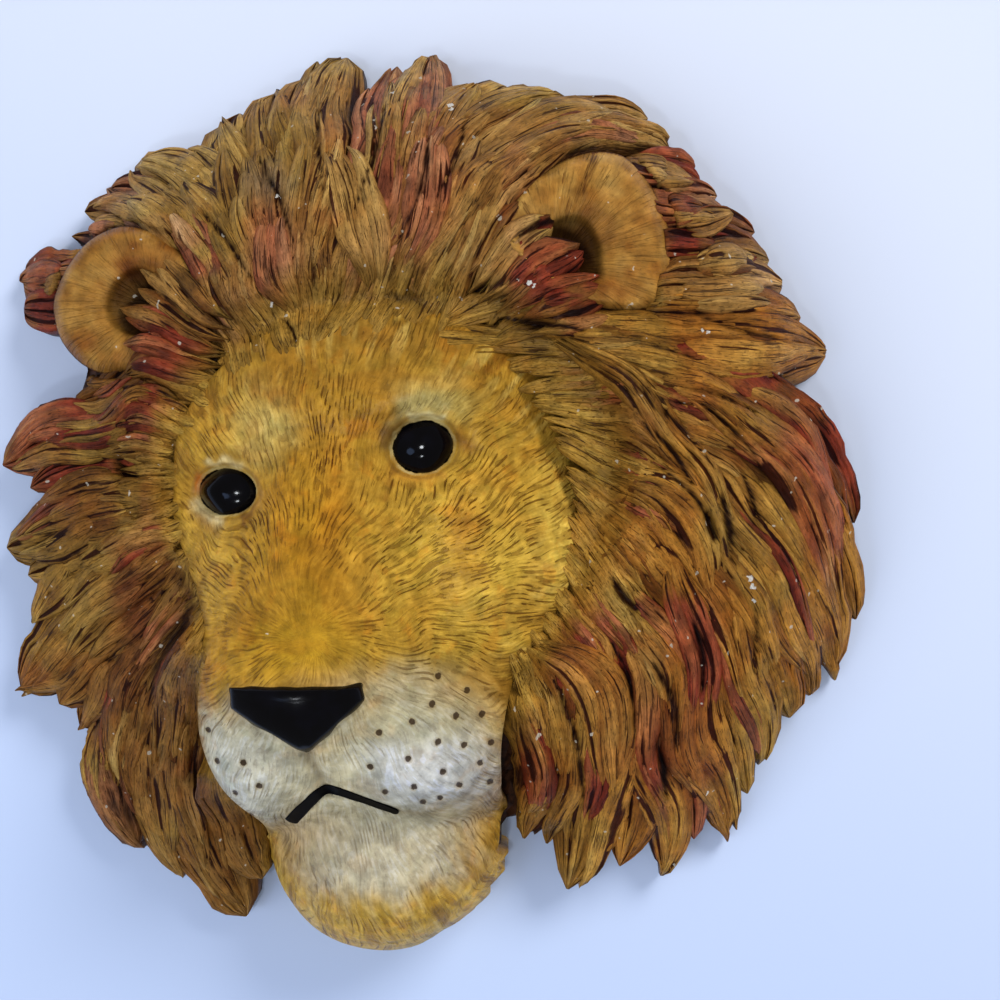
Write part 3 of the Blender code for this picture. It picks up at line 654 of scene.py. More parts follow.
def strip_shell(place, half, surface, rise, columns, seed, paints, tone=0.0, strands=1.0, start_share=0.0):
    """One lock: a strip along its places that lies on a surface, rises over it by a domed profile with
    carved strands, and has straight sides down to the foot level. Its edges are ragged, and frayed towards
    the tip."""
    side, length = sideways(place)
    along = np.cumsum(length)[:, None]
    share = np.linspace(0, 1, len(place))[:, None]
    u = np.linspace(-1, 1, columns)[None, :]
    ragged, frayed = (
        np.where(u < 0, *(grain(along / size, shift, seed=seed + k) for k in sides))
        for size, shift, sides in ((6, 0.5, (5, 6)), (1.9, 1.5, (7, 8)))
    )
    spread = half[:, None] * u * (1 + 0.34 * (ragged - 0.5) + 0.24 * (frayed - 0.5) * share)
    edge = waved(place[:, None, :] + side[:, None, :] * spread[..., None])
    across, up = edge[..., 0], edge[..., 1]
    nominal = u * half.max()
    offset = (seed % 97) * 3.7
    relief, broad, fine, groove = strand_relief(nominal + offset, along, seed)
    taper = np.clip(half[:, None] / (0.35 * half.max()), 0, 1)
    top = surface(across, up) + rise(half[:, None], u, share)
    top = np.maximum(top + strands * relief * taper * (1 - 0.6 * np.abs(u) ** 5), 2.5)
    # Painted shade: the tone falls towards the lock's edges, where it rounds down into the gaps between locks
    tones = 0.47 + tone + 0.34 * (broad - 0.5) + 0.18 * (fine - 0.5) + 0.12 * share**3 - 0.12 * np.abs(u) ** 4
    tones = tones + 0.10 * smooth_step((mane_radius(across, up) - 0.80) / 0.16)
    lock_share = start_share + (1 - start_share) * share + 0 * u
    colour = lock_colour(*paints, across, up, lock_share, tones, seed)
    face_share = 1 - smooth_step((face_ratio(across, up) - 0.98) / 0.20)
    hairline = laid_over(paint_at("gold", tones), paint_at("brow", tones), 0.8 * smooth_step((up - 20) / 14))
    colour = with_edges(laid_over(colour, hairline, 0.90 * face_share))
    # Painted shade: the sides down to the foot are painted darker, for the shade in the gaps between locks
    colour[:, [0, -1]] *= 0.55
    # The wash is the carved grooves' own wash, plus painted shade along the lock's edges that grows towards
    # its root
    wash_and_shade = np.clip(0.80 * groove + 0.22 * np.abs(u) ** 9 * (1 - share), 0, 1) * (1 - 0.8 * face_share)
    strand = with_edges(np.dstack([nominal + offset + 0 * along, along + offset + 0 * u]))
    strand[:, 0, 0] -= top[:, 0] - FOOT_LEVEL
    strand[:, -1, 0] += top[:, -1] - FOOT_LEVEL
    return closed_shell(with_feet(np.dstack([edge, top])), colour, with_edges(wash_and_shade), strand)


def under_face(across, up, level):
    """Levels that leave the face just under its surface and rise to their own level a little outside its
    edge."""
    out = smooth_step((face_ratio(across, up) - 0.96) / 0.22)
    return (face_level(across, up) - 2.0) * (1 - out) + level * out


def base_lock(values, tier, number, ground):
    """A lock of the mane as the solid has it, carved with strands: it rises from its root to the mane's
    surface, is arched across, and stays under the face."""
    root, bend, tip, width, point, paint = values
    start, end, width_share, side_step, lift, (columns, rows), first_seed = tier
    share = np.linspace(0, 1, rows)
    place, side = spine_at(root, bend, tip, start + share * (end - start))
    place = place + side * side_step * width
    half = width * width_share / 2 * lock_width(share, 0.72 * point)
    root_rise = (lift + ROOT_SINK) * smooth_step(share / ROOT_REACH) - ROOT_SINK
    spine_level = under_face(*place.T, mane_level(*place.T) + root_rise - ear_dip(*place.T))
    dome = LOCK_DOME * (0.25 + 0.75 * smooth_step((face_ratio(*place.T) - 0.96) / 0.26))

    def surface(across, up):
        """The spine's own level, or a little under the face where that is lower."""
        out = smooth_step((face_ratio(across, up) - 0.98) / 0.35)
        return np.minimum(spine_level[:, None], face_level(across, up) - 2.8 + 40 * out)

    def rise(half_width, u, _):
        """An arch: one less the square of the place across."""
        return dome[:, None] * half_width * (1 - u**2)

    paints = (paint if paint in OWN_PAINTS else ground, ground)
    seed = first_seed + number
    return strip_shell(place, half, surface, rise, columns, seed, paints, -0.06, start_share=start)


# The map of the surface that wisps are laid on: its reach each way, in cells of a millimetre
MAP_REACH, MAP_CELLS = 120, 240


def surface_map(shells, before=None):
    """The highest level in each whole millimetre: every shell's loops, with three more between each two."""
    height = np.zeros((MAP_CELLS, MAP_CELLS)) if before is None else before.copy()
    for shell in shells:
        loops = shell["loops"]
        between = [loops[:-1] + (loops[1:] - loops[:-1]) * share for share in (0.0, 0.25, 0.5, 0.75)]
        places = np.concatenate([part.reshape(-1, 3) for part in between])
        column = np.clip((places[:, 0] + MAP_REACH).astype(int), 0, MAP_CELLS - 1)
        row = np.clip((places[:, 1] + MAP_REACH).astype(int), 0, MAP_CELLS - 1)
        np.maximum.at(height, (row, column), places[:, 2])
    return height


def averaged(height, reach, with_empty=False):
    """The map averaged within a square reach, over its filled cells or over all of them."""
    total, count = np.zeros(height.shape), np.zeros(height.shape)
    for dx in range(-reach, reach + 1):
        for dz in range(-reach, reach + 1):
            moved = np.roll(height, (dz, dx), (0, 1))
            total += moved
            count += with_empty or moved > 0.5
    return total / np.maximum(count, 1)


def map_at(height, across, up):
    """The map's level at each place, blended between the four nearest cell middles."""
    x, z = across + MAP_REACH - 0.5, up + MAP_REACH - 0.5
    column, row = (np.clip(np.floor(v).astype(int), 0, MAP_CELLS - 2) for v in (x, z))
    share_x, share_z = np.clip(x - column, 0, 1), np.clip(z - row, 0, 1)
    low = height[row, column] * (1 - share_x) + height[row, column + 1] * share_x
    high = height[row + 1, column] * (1 - share_x) + height[row + 1, column + 1] * share_x
    return low * (1 - share_z) + high * share_z


def wisp_width(share, blunt):
    """A wisp's width along it: it comes to a point at its root and its tip, and is widest before its
    middle."""
    return np.clip(np.sin(np.pi * np.clip(share, 0, 1) ** 0.72), 0.0, 1) ** blunt + 0.05


def hugging_strip(place, half, swell, columns, seed, paints, tone, smooth_map, start_share=0.0, tip_sink=0.9):
    """A strip on the surface map: its edges lie just under the surface, its middle swells over it, and its
    root and its tip run back into it."""

    def surface(across, up):
        """The surface map, but nowhere far under the mane, and lowered under the ears."""
        level = np.maximum(map_at(smooth_map, across, up), np.clip(mane_level(across, up) - 3, 4.0, None))
        return level - 0.6 * ear_dip(across, up, 0.94)

    def rise(half_width, u, along_share):
        """An arch that starts under the surface and sinks at the root and the tip."""
        root, tip = smooth_step(along_share / 0.14), smooth_step((along_share - 0.82) / 0.18)
        return swell * half_width * (1 - u**2) ** 0.8 - 0.25 - 1.0 * (1 - root) - tip_sink * tip

    return strip_shell(place, half, surface, rise, columns, seed, paints, tone, 0.6, start_share)


# Layers of wisps, laid from the outside in: how many, where they start along the mane, how long they are,
# how much they swell, their width, and the columns and rows of each. The last two layers start by how far
# out of the face's centre they are, as a share of the distance to its edge.
WISP_LAYERS = {
    "rim": (130, (0.36, 0.62), (0.38, 0.56), 0.32, (4.0, 7.5), (16, 20)),
    "mane": (140, (0.14, 0.44), (0.34, 0.54), 0.32, (4.0, 8.0), (16, 20)),
    "face": (140, (1.00, 1.28), (0.28, 0.46), 0.30, (3.2, 6.5), (16, 20)),
    "fringe": (440, (0.93, 1.07), (0.18, 0.36), 0.24, (1.4, 3.0), (8, 14)),
}
TUFT_SHARE = 0.45
# How thick the fringe is in each region, and how much nearer to the face it starts
FRINGE = {"crown": (0.9, 0.08), "right": (2.0, 0.05), "left": (1.3, 0.02)}


def region_of(number):
    """The region of the mane that a lock belongs to. Each region's ground paint has its name."""
    if number < FIRST_CROWN_LOCK:
        return "left"
    return "crown" if number < FIRST_RIGHT_LOCK else "right"


def between_locks(guides, share):
    """Root, middle and tip of the curve that runs between two neighbouring locks."""
    first, second = (np.array(guide[:3], float) for guide in guides)
    return (1 - share) * first + share * second


def leaves_face(guides, between, wanted):
    """Where along the curve between two locks the face's edge ratio first reaches the wanted one."""
    share = np.linspace(-0.35, 0.35, 71)
    place, _ = spine_at(*between_locks(guides, between), share)
    past = face_ratio(place[:, 0], place[:, 1]) >= wanted
    return share[past.argmax()] if past.any() else share[-1]


def wisp_spine(guides, between, offset, start, end, rows, rng):
    """Places along a wisp: it follows the curve between two neighbouring locks, or keeps to one side of
    a lock's own curve, and sways from side to side by a sine that grows along it."""
    share = np.linspace(0, 1, rows)
    mane_share = start + share * (end - start)
    place, side = spine_at(*between_locks(guides, between), mane_share)
    lock_share = (mane_share - LOCK_START) / (1 - LOCK_START)
    width, point = guides[0][3:5]
    place = place + side * (offset * width / 2 * lock_width(lock_share, point))[:, None]
    length = np.hypot(*np.diff(place, axis=0).T).sum()
    sway = rng.uniform(0.2, 0.8) * min(length / 15, 3.0)
    phase, turns = rng.random(), rng.uniform(0.4, 0.9)
    return place + side * (sway * np.sin(2 * np.pi * (share * turns + phase)) * share**0.7)[:, None]


def wisp_paint(own, region, chance):
    """A wisp's paint: mostly its lock's, often the ground's, and now and then a red one."""
    if chance < 0.05:
        return "rose" if region == "crown" else "red"
    return own if own in OWN_PAINTS and chance >= 0.45 else region


def layer_of_wisps(kind, first_seed, height):
    """One layer of wisps for each region, spread evenly over the locks by seeded choices. Those at the rim
    keep to their own lock, so the outline's notches stay open."""
    count, starts, lengths, swell, widths, (columns, rows) = WISP_LAYERS[kind]
    smooth_map = averaged(height, 1)
    locks = list(LOCKS.values())
    weights = np.array([TUFT_SHARE if "tuft" in name else 1.0 for name in LOCKS])
    if kind == "fringe":
        weights = weights * [FRINGE[region_of(number)][0] for number in range(len(locks))]
    spread = np.cumsum(weights)
    laid = {region: [] for region in REGIONS}
    for number in range(count):
        seed = first_seed + number
        rng, own_rng = np.random.default_rng(seed), np.random.default_rng(seed)
        index = min(int(np.searchsorted(spread / spread[-1], (number + 0.5) / count)), len(locks) - 1)
        guides = (locks[index], locks[min(index + 1, len(locks) - 1)])
        region = region_of(index)
        between = 0.0 if kind == "rim" else rng.random()
        offset = rng.uniform(-0.75, 0.75) if kind == "rim" else 0.0
        start = rng.uniform(*starts)
        if kind == "fringe":
            start -= FRINGE[region][1]
        if kind in ("face", "fringe"):
            start = leaves_face(guides, between, start)
        end = start + rng.uniform(*lengths)
        if kind == "rim":
            end = min(max(end, 0.88), 1.02)
        paints = (wisp_paint(guides[0][5], region, rng.random()), region)
        width, tone = rng.uniform(*widths), rng.uniform(-0.08, 0.10)
        place = wisp_spine(guides, between, offset, start, end, rows, own_rng)
        half = width / 2 * wisp_width(np.linspace(0, 1, rows), own_rng.uniform(0.55, 0.85))
        tip_sink = 0.0 if kind == "rim" else 0.9
        shell = hugging_strip(place, half, swell, columns, seed, paints, tone, smooth_map, start, tip_sink)
        laid[region].append(shell)
    return laid


def all_wisps(height):
    """Every wisp, and the map with them on it. Each layer lies on the surface that the ones before it
    leave."""
    made = {region: [] for region in REGIONS}
    for layer, kind in enumerate(WISP_LAYERS, start=1):
        laid = layer_of_wisps(kind, 1000 * layer, height)
        for region in REGIONS:
            made[region] += laid[region]
        height = surface_map([shell for region in REGIONS for shell in laid[region]], height)
    return made, height


def free_lock(root, bend, tip, width, paints, seed, smooth_map):
    """A lock laid on top, as three narrower ones that spring from one root, each with its own side and
    length."""
    _, side = spine_at(root, bend, tip, np.array([0.5]))
    share = np.linspace(0, 1, 26)
    shells = []
    for part, step in enumerate((-0.30, 0.30, 0.0)):
        rng = np.random.default_rng(seed + part)
        shift = side[0] * step * width
        start, middle = np.array(root, float) + 0.4 * shift, np.array(bend, float) + shift
        end = middle + rng.uniform(0.86, 1.04) * (np.array(tip, float) + 0.8 * shift - middle)
        place, _ = spine_at(start, middle, end, share)
        half = 0.5 * width * rng.uniform(0.50, 0.62) * lock_width(share, 0.7) * pinched_root(share)
        shells.append(hugging_strip(place, half, 0.42, 14, seed + part, paints, 0.03, smooth_map))
    return shells


# The face

FACE_ROWS, FACE_COLUMNS = 345, 236
FACE_GROUND, FACE_WARM = (162, 120, 38), (150, 92, 22)
# Fur at the face's edge: the chin's rim, and dark and pale lines that lead out to the edge
CHIN_RIM, EDGE_LINES, EDGE_LIGHTS = (192, 151, 46), (112, 70, 18), (200, 168, 84)
LIP_SHADE, CREASE_SHADE = (120, 104, 76), (128, 108, 70)
LIP_CREASE = ((-7, -65), (2, -66.3), (8, -63), (13.5, -57), (15.6, -51))
PIT_DEPTH, PIT_RADIUS = 0.9, 0.62
# Paints laid over the face one after another: centre, radii, turn, colour, strength and how sharp the
# patch's edge is
FACE_PAINTS = (
    ((-12, 24), (32, 18), 0, (140, 102, 28), 0.8, 2),
    ((-12, 37), (26, 7), 0, (124, 88, 30), 0.6, 2),
    ((-20, 12), (8, 9), 0, (152, 106, 32), 0.6, 2),
    ((-22, -13), (10, 25), 8, (144, 100, 10), 0.8, 2),
    ((-25, -31), (12, 7), 0, (152, 116, 18), 0.7, 2),
    ((-35, -20), (4, 15), 10, (138, 90, 16), 0.5, 2),
    ((12, -16), (22, 24), 0, (182, 146, 50), 0.85, 2),
    ((30, -8), (6, 17), 0, (204, 172, 74), 0.7, 2),
    ((-45, -8), (9, 18), 0, (188, 146, 50), 0.8, 2),
    ((-18.3, -4), (4, 9), 0, (150, 88, 10), 0.5, 2),
    ((10, -7.4), (4, 7), 0, (172, 102, 24), 0.5, 2),
    ((1.7, 21), (8, 6), 18, (184, 164, 88), 0.6, 3),
    ((-34.5, 15.5), (7, 8), 0, (186, 164, 92), 0.6, 3),
    ((4, -35), (15, 5), -8, (146, 118, 44), 0.6, 2),
    ((-9, -75), (21, 16), 6, (174, 167, 142), 0.9, 4),
    ((-34.5, -55), (13.5, 15.5), 22, (178, 171, 142), 0.95, 6),
    ((-2.5, -53), (21.5, 16.5), -6, (164, 159, 130), 0.95, 5),
    ((2, -57), (15, 8), 0, (190, 190, 188), 0.8, 3),
    ((-36, -57), (8, 9), 0, (190, 190, 180), 0.6, 3),
    ((-20, -59), (10, 8), 0, (190, 180, 146), 0.9, 3),
)
# Where the face's strokes are stronger or fainter, one after another: centre, radii, turn and strength
STROKE_ZONES = (
    ((-12, 26), (30, 16), 0, 0.45), ((-20, -18), (12, 24), 8, 0.40), ((-20, 12), (5, 11), 4, 1.15),
    ((-33, -4), (5, 8), -25, 1.05), ((9, -12), (20, 15), 0, 1.0), ((-4, 0), (10, 5), 20, 0.9),
    ((-12, -54), (34, 17), 0, 0.22), ((-8, -76), (20, 14), 0, 0.22), ((-23, -28), (7, 8), 0, 0.05),
)
# Strokes of paint round the eyes, the first two painted shade in the crease above and left of the right
# eye: places in the picture, half width in millimetres, colour and strength
LID_STROKES_AND_SHADE = (
    (((386, 446), (391, 428), (401, 415), (418, 409)), 1.3, (112, 92, 44), 0.75),
    (((384, 442), (389, 432)), 1.2, (92, 60, 22), 0.7),
    (((404, 406), (424, 401), (444, 405)), 1.8, (168, 156, 102), 0.5),
    (((412, 417), (428, 414), (443, 417)), 0.7, (214, 204, 150), 0.7),
    (((459, 437), (468, 446)), 1.6, (116, 74, 22), 0.75),
    (((394, 470), (389, 484), (383, 497)), 0.8, (112, 72, 20), 0.7),
    (((402, 474), (420, 478), (440, 474)), 1.0, (176, 120, 40), 0.5),
    (((196, 480), (193, 490)), 1.2, (178, 84, 24), 0.7),
    (((192, 507), (204, 516), (216, 520)), 1.6, (206, 190, 140), 0.7),
    (((246, 520), (253, 516), (257, 510)), 1.1, (98, 58, 18), 0.8),
    (((206, 463), (224, 461), (240, 466)), 0.8, (206, 186, 130), 0.7),
    (((256, 478), (262, 494), (260, 510)), 0.9, (172, 126, 54), 0.6),
    (((196, 519), (206, 528), (214, 532)), 1.2, (118, 78, 28), 0.6),
)
# Whisker pits, as places in the picture
WHISKER_PITS = (
    (208, 730), (217, 761), (243, 763), (259, 786), (235, 793), (250, 816), (438, 676), (467, 690),
    (432, 704), (456, 716), (482, 714), (412, 722), (379, 733), (438, 742), (464, 745), (491, 743),
    (408, 759), (370, 767), (443, 772), (480, 763), (385, 792), (414, 787), (459, 785), (490, 782),
    (423, 802), (440, 798),
)


def seen_on_head(right_of, down):
    """The place on the head that shows at a spot of the picture: the level is looked up four times in
    turn."""
    x, z = seen_place(right_of, down, 50)
    for _ in range(4):
        x, z = seen_place(right_of, down, float(head_level(np.array(x), np.array(z))))
    return x, z


WHISKER_PLACES = [seen_on_head(right_of, down) for right_of, down in WHISKER_PITS]


def face_grid():
    """Rows of places from chin to forehead between the face's two edges, which are frayed at the chin."""
    low, high = FACE_OUTLINE[:, 1].argmin(), FACE_OUTLINE[:, 1].argmax()
    from_top = np.roll(FACE_OUTLINE, -high, axis=0)
    foot = (low - high) % len(FACE_OUTLINE)
    left, right = from_top[: foot + 1][::-1], np.vstack([from_top[foot:], from_top[:1]])
    up = np.linspace(FACE_OUTLINE[:, 1].min() + 0.05, FACE_OUTLINE[:, 1].max() - 0.1, FACE_ROWS)
    frayed = 2.2 * smooth_step((-60 - up) / 10) * smooth_step((up + 101) / 6)
    left_edge = np.interp(up, left[:, 1], left[:, 0])
    left_edge = left_edge + frayed * (grain(up / 1.7, 0.5, seed=21) - 0.5)
    right_edge = np.interp(up, right[:, 1], right[:, 0])
    right_edge = right_edge + 1.8 * frayed * (grain(up / 2.1, 0.5, seed=22) - 0.6)
    across = left_edge[:, None] + (right_edge - left_edge)[:, None] * np.linspace(0, 1, FACE_COLUMNS)
    return across, np.repeat(up[:, None], FACE_COLUMNS, axis=1)


def edge_fur(across, up, swells):
    """Paints at the face's edge with their shares: the chin's rim, dark and pale lines that lead out to
    the edge, and a rim beside the cheeks in the mane's gold."""
    ratio = face_ratio(across, up)
    hairs = fur_strokes(across, up, 1.3, 11.0, 90)
    rim_start = 0.76 - 0.18 * smooth_step((-78 - up) / 10) - 0.44 * (hairs - 0.5)
    rim = smooth_step((ratio - rim_start) / 0.40) * smooth_step((-66 - up) / 10)
    out = smooth_step((-70 - up) / 8) + 0.8 * smooth_step((up - 14) / 10)
    out = np.minimum(out + 0.7 * smooth_step((across - 10) / 8), 1) * smooth_step((ratio - 0.74) / 0.2)
    cheek_rim = smooth_step((ratio + 0.22 * (hairs - 0.5) - 0.93) / 0.06) * smooth_step((up + 60) / 10)
    return (
        (screen_colour(CHIN_RIM), 0.96 * rim),
        (screen_colour(EDGE_LINES), 0.60 * smooth_step((hairs - 0.56) / 0.1) * out),
        (screen_colour(EDGE_LIGHTS), 0.50 * smooth_step((0.42 - hairs) / 0.1) * out),
        (paint_at("gold", 0.30 + 0.5 * (swells - 0.5)), 0.6 * cheek_rim),
    )


def face_colours(across, up, swells):
    """The face's paint: soft patches, mottled and in places warmer, then the fur at its edge, the brush
    strokes round the eyes with painted shade in the crease above the right eye, and painted shade in the
    split of the lip and along its crease."""
    blotch = 0.6 * grain(across / 9, up / 9, seed=7) + 0.4 * grain(across / 3, up / 3, seed=9) - 0.5
    paint = np.broadcast_to(screen_colour(FACE_GROUND), across.shape + (3,))
    for centre, radii, turn, colour, strength, sharp in FACE_PAINTS:
        share = strength * patch(across + 6 * blotch, up - 6 * blotch, centre, radii, turn, sharp)
        paint = laid_over(paint, screen_colour(colour), share)
    mottle = 0.55 * (grain(across / 4.5, up / 4.5, seed=12) - 0.5)
    mottle = mottle + 0.45 * (grain(across / 2, up / 2, seed=13) - 0.5)
    paint = paint * (1 + 0.34 * mottle + 0.26 * (swells - 0.5))[..., None]
    warm = smooth_step((grain(across / 6, up / 5, seed=14) - 0.58) / 0.14) * smooth_step((up + 44) / 8)
    paint = laid_over(paint, screen_colour(FACE_WARM), 0.22 * warm)
    for colour, share in edge_fur(across, up, swells):
        paint = laid_over(paint, colour, share)
    frayed = 1.6 * (grain(across / 1.6, up / 1.6, seed=17) - 0.5)
    for line, width, colour, strength in LID_STROKES_AND_SHADE:
        places = [seen_place(right_of, down, LIDS_SEEN) for right_of, down in line]
        gap = line_distance(across + frayed, up - frayed, places)
        paint = laid_over(paint, screen_colour(colour), strength * bell(gap, width))
    paint = laid_over(paint, screen_colour(LIP_SHADE), 0.55 * bell(line_distance(across, up, LIP_SPLIT), 1.1))
    crease_shade = bell(line_distance(across, up, LIP_CREASE), 1.0)
    return laid_over(paint, screen_colour(CREASE_SHADE), 0.5 * crease_shade)


def face_shell():
    """The face on the head's surface: fur strokes carved in by zones but clear of the eyes, sockets sunk
    under the eye beads, pits for the whiskers, and a crease along the lip. Its cover says how strong the
    strokes are."""
    across, up = face_grid()
    strokes = fur_strokes(across, up, 0.85, 3.6, 40)
    clusters = smooth_step((grain(across / 8, up / 8, seed=47) - 0.30) / 0.4)
    groove = smooth_step((strokes - 0.60) / 0.14) * clusters
    swells = fur_strokes(across, up, 2.6, 9.0, 60)
    zone = np.full(across.shape, 0.7)
    for centre, radii, turn, strength in STROKE_ZONES:
        zone = zone + (strength - zone) * patch(across, up, centre, radii, turn, 2)
    level = head_level(across, up)
    for side in EYES:
        bead, radius = bead_level(side, across, up)
        zone = zone * smooth_step((radius - 1.25) / 0.45)
        sunk = 1 - smooth_step((radius - 1.0) / 0.10)
        level = level - sunk * np.maximum(level - bead + 0.8, 0)
    level = level + zone * (0.6 * (swells - 0.5) - 0.36 * groove)
    level = level - edge_fall(across, up, face_ratio(across, up))
    for x, z in WHISKER_PLACES:
        level = level - PIT_DEPTH * bell(np.hypot(across - x, up - z), PIT_RADIUS)
    level = level - 0.8 * bell(line_distance(across, up, LIP_CREASE), 1.2)
    loops = with_feet(np.dstack([across, up, level]))
    paint = with_edges(face_colours(across, up, swells))
    made = closed_shell(loops, paint, with_edges(0.42 * zone * groove), with_edges(np.dstack([across, up])))
    made["cover"] = with_edges(zone).reshape(-1)
    return made


def shrunk(outline, centre, rings):
    """Loops that shrink from an outline nearly to its centre, and each loop's share of the outline's
    size."""
    shares = np.linspace(1, 0.5 / rings, rings)
    return centre + shares[:, None, None] * (outline - centre), shares


def ear_shell(side):
    """An ear: loops from its rim to its hollow, lumpy, with a step at the hollow's edge and streaks that
    run out from it, which show mostly over the right ear's hollow. It is painted darker inside the hollow,
    as painted shade, and lighter at the rim, and its outer edge is washed dark as painted shade where it
    meets the mane."""
    hollow, outline = np.array(EARS[side][1], float), EAR_OUTLINES[side]
    seed = 80 if side == "right" else 90
    places = np.concatenate([outline[None], shrunk(outline, hollow, 64)[0]])
    across, up = places[..., 0], places[..., 1]
    ratio = ear_ratio(side, across, up)
    bearing = np.arctan2(up - hollow[1], across - hollow[0])
    distance = np.hypot(across - hollow[0], up - hollow[1])
    lines = grain(np.cos(bearing) * 17, np.sin(bearing) * 17, distance / 6, seed)
    streaked = 0.06
    if side == "right":
        streaked = 0.12 + 0.88 * smooth_step((up - hollow[1] - 0.9 * (across - hollow[0])) / 8)
    inner_edge = 1.2 * (1 - smooth_step((ratio - EAR_INNER_EDGE[side]) / 0.06))
    lumps = 0.9 * (grain(across / 4, up / 4, seed=seed + 5) - 0.5)
    cuts = 0.5 * (lines - 0.5) - 0.3 * smooth_step((lines - 0.66) / 0.15)
    carved = smooth_step((ratio - 0.32) / 0.2) * streaked
    level = ear_level(side, across, up) - inner_edge + lumps + carved * cuts
    level[0] = foot_level(*outline.T)
    blots = 0.6 * grain(across / 5, up / 5, seed=seed + 3) + 0.4 * grain(across / 2, up / 2, seed=seed + 4)
    tone = EAR_TONE[side] + 0.14 * smooth_step((ratio - 0.5) / 0.4) + 0.22 * streaked * (lines - 0.5)
    inner = 1 - smooth_step((ratio - EAR_INNER_EDGE[side]) / 0.10)
    # Painted shade: the paint darkens inside the hollow
    paint = paint_at("ear", tone + 0.70 * (blots - 0.5)) * (1 - 0.60 * inner[..., None])
    # Painted shade: besides the streaks' wash, the ear's outer edge is darkened where it meets the mane
    wash_and_shade = 0.5 * streaked * smooth_step((lines - 0.68) / 0.12) + 0.8 * smooth_step((ratio - 0.965) / 0.035)
    round_rim = np.hypot(*(outline - np.roll(outline, 1, axis=0)).T).cumsum()
    strand = np.dstack([np.broadcast_to(round_rim, distance.shape), distance])
    return closed_shell(np.dstack([places, level]), paint, np.clip(wash_and_shade, 0, 1), strand)


def ear_hair(smooth_map):
    """Hair that springs from the face side of each ear: each lock of the solid is drawn as three narrow,
    arched ones that lift off the mane."""
    shells = []
    for number, (name, (root, bend, tip, width, paint)) in enumerate(EAR_HAIR.items()):
        _, side = spine_at(root, bend, tip, np.array([0.5]))
        reach = EAR_HAIR_REACH[name.split("_")[0]]
        for part, step in enumerate((-0.42, 0.0, 0.42)):
            seed = 500 + 10 * number + part
            rng = np.random.default_rng(seed)
            shift = side[0] * step * width
            moved = ((root, 0.8), (bend, 1.0), (tip, 1.15))
            start, middle, end = (np.array(point, float) + shift * k for point, k in moved)
            end = middle + reach * (end - middle) + rng.uniform(-1.6, 1.6, 2)
            paints = (paint, "olive" if rng.random() < 0.15 else "crown")
            strip_width = width * rng.uniform(0.45, 0.62)
            share = np.linspace(0, 1, 18)
            place, _ = spine_at(start, middle, end, share)
            half = strip_width / 2 * lock_width(share, 0.8) * pinched_root(share)
            base = mane_level(*place.T) + EAR_HAIR_LIFT * smooth_step(share / 0.3) + rng.uniform(0.2, 1.2)
            level = np.maximum(base, map_at(smooth_map, *place.T) + 0.2)

            def surface(across, up, level=level):
                """The level along the hair's middle, the same across it."""
                return np.broadcast_to(level[:, None], across.shape)

            def rise(half_width, u, along_share):
                """A flat arch that sinks at the tip."""
                return 0.5 * half_width * (1 - u**2) - 0.5 - 0.9 * smooth_step((along_share - 0.8) / 0.2)

            tone = rng.uniform(-0.15, 0.05)
            shells.append(strip_shell(place, half, surface, rise, 12, seed, paints, tone, 0.7, 0.1))
    return shells


# The black pieces: how far their feet lie under the face's surface, and their colours
CAP_FOOT, LINE_FOOT = 1.6, 1.2
NEAR_BLACK, MOUTH_BLACK = (4, 3, 4), (3, 2, 2)
# The nose leather stands this much proud of the face at its edge and at its middle
NOSE_COAT, NOSE_CROWN = 0.28, 1.0
MOUTH_LINE = ((-28.6, -69.2), (-24.0, -64.0), (-19.6, -60.4), (-13.5, -62.2), (-5.8, -65.4))


def black_shell(loops, colour):
    """A closed shell in one colour, without any wash."""
    paint = np.broadcast_to(screen_colour(colour), loops.shape)
    return closed_shell(loops, paint, 0 * loops[..., 0], loops[..., :2])


def black_cap(places, level, foot):
    """A thin closed cap: a foot under its outermost loop, then its loops at their levels."""
    foot_loop = np.dstack([places[:1], foot[None]])
    return black_shell(np.concatenate([foot_loop, np.dstack([places, level])]), NEAR_BLACK)


def eye_shell(side):
    """A glossy bead on its own plane; where the socket's rim lies lower, its side rolls down to it."""
    centre = np.array(EYES[side][:2])
    half_width, half_height, turn = BEADS[side][:3]
    angle = np.linspace(0, 2 * np.pi, 96, endpoint=False)
    dx = half_width * np.cos(angle) * (1 + 0.03 * np.cos(2 * angle))
    dz = half_height * np.sin(angle) * (1 - 0.05 * np.cos(2 * angle))
    outline = centre + np.column_stack(turned(dx, dz, (0, 0), -turn))
    places, shares = shrunk(outline, centre, 24)
    rim = head_level(*outline.T)
    level = bead_level(side, places[..., 0], places[..., 1])[0]
    level = level + np.minimum(rim + 0.3 - level[0], 0) * shares[:, None] ** 3
    return black_cap(places, level, np.minimum(rim, level[0]) - CAP_FOOT)


def nose_shell():
    """The nose leather: a thin cap on the face that starts just over its surface and rounds up to its
    middle."""
    corners = np.array(NOSE_CORNERS)
    steps = []
    for a, b in zip(corners, np.roll(corners, -1, axis=0)):
        steps += [a + (b - a) * share for share in (0.06, 0.35, 0.65, 0.94)]
    outline = closed_curve(steps, 200)[::-1]
    uneven = [grain(outline[:, 0] / 3, outline[:, 1] / 3, seed=seed) - 0.5 for seed in (31, 32)]
    outline = outline + 0.8 * np.column_stack(uneven)
    places, shares = shrunk(outline, corners.mean(axis=0) + (0, 1.2), 30)
    round_up = np.sqrt(np.clip(1 - shares**6, 0, 1))[:, None]
    level = head_level(places[..., 0], places[..., 1]) + 0.05 + (NOSE_COAT - 0.05) * round_up
    level = level + NOSE_CROWN * (1 - shares[:, None] ** 2)
    return black_cap(places, level, head_level(*outline.T) - CAP_FOOT)


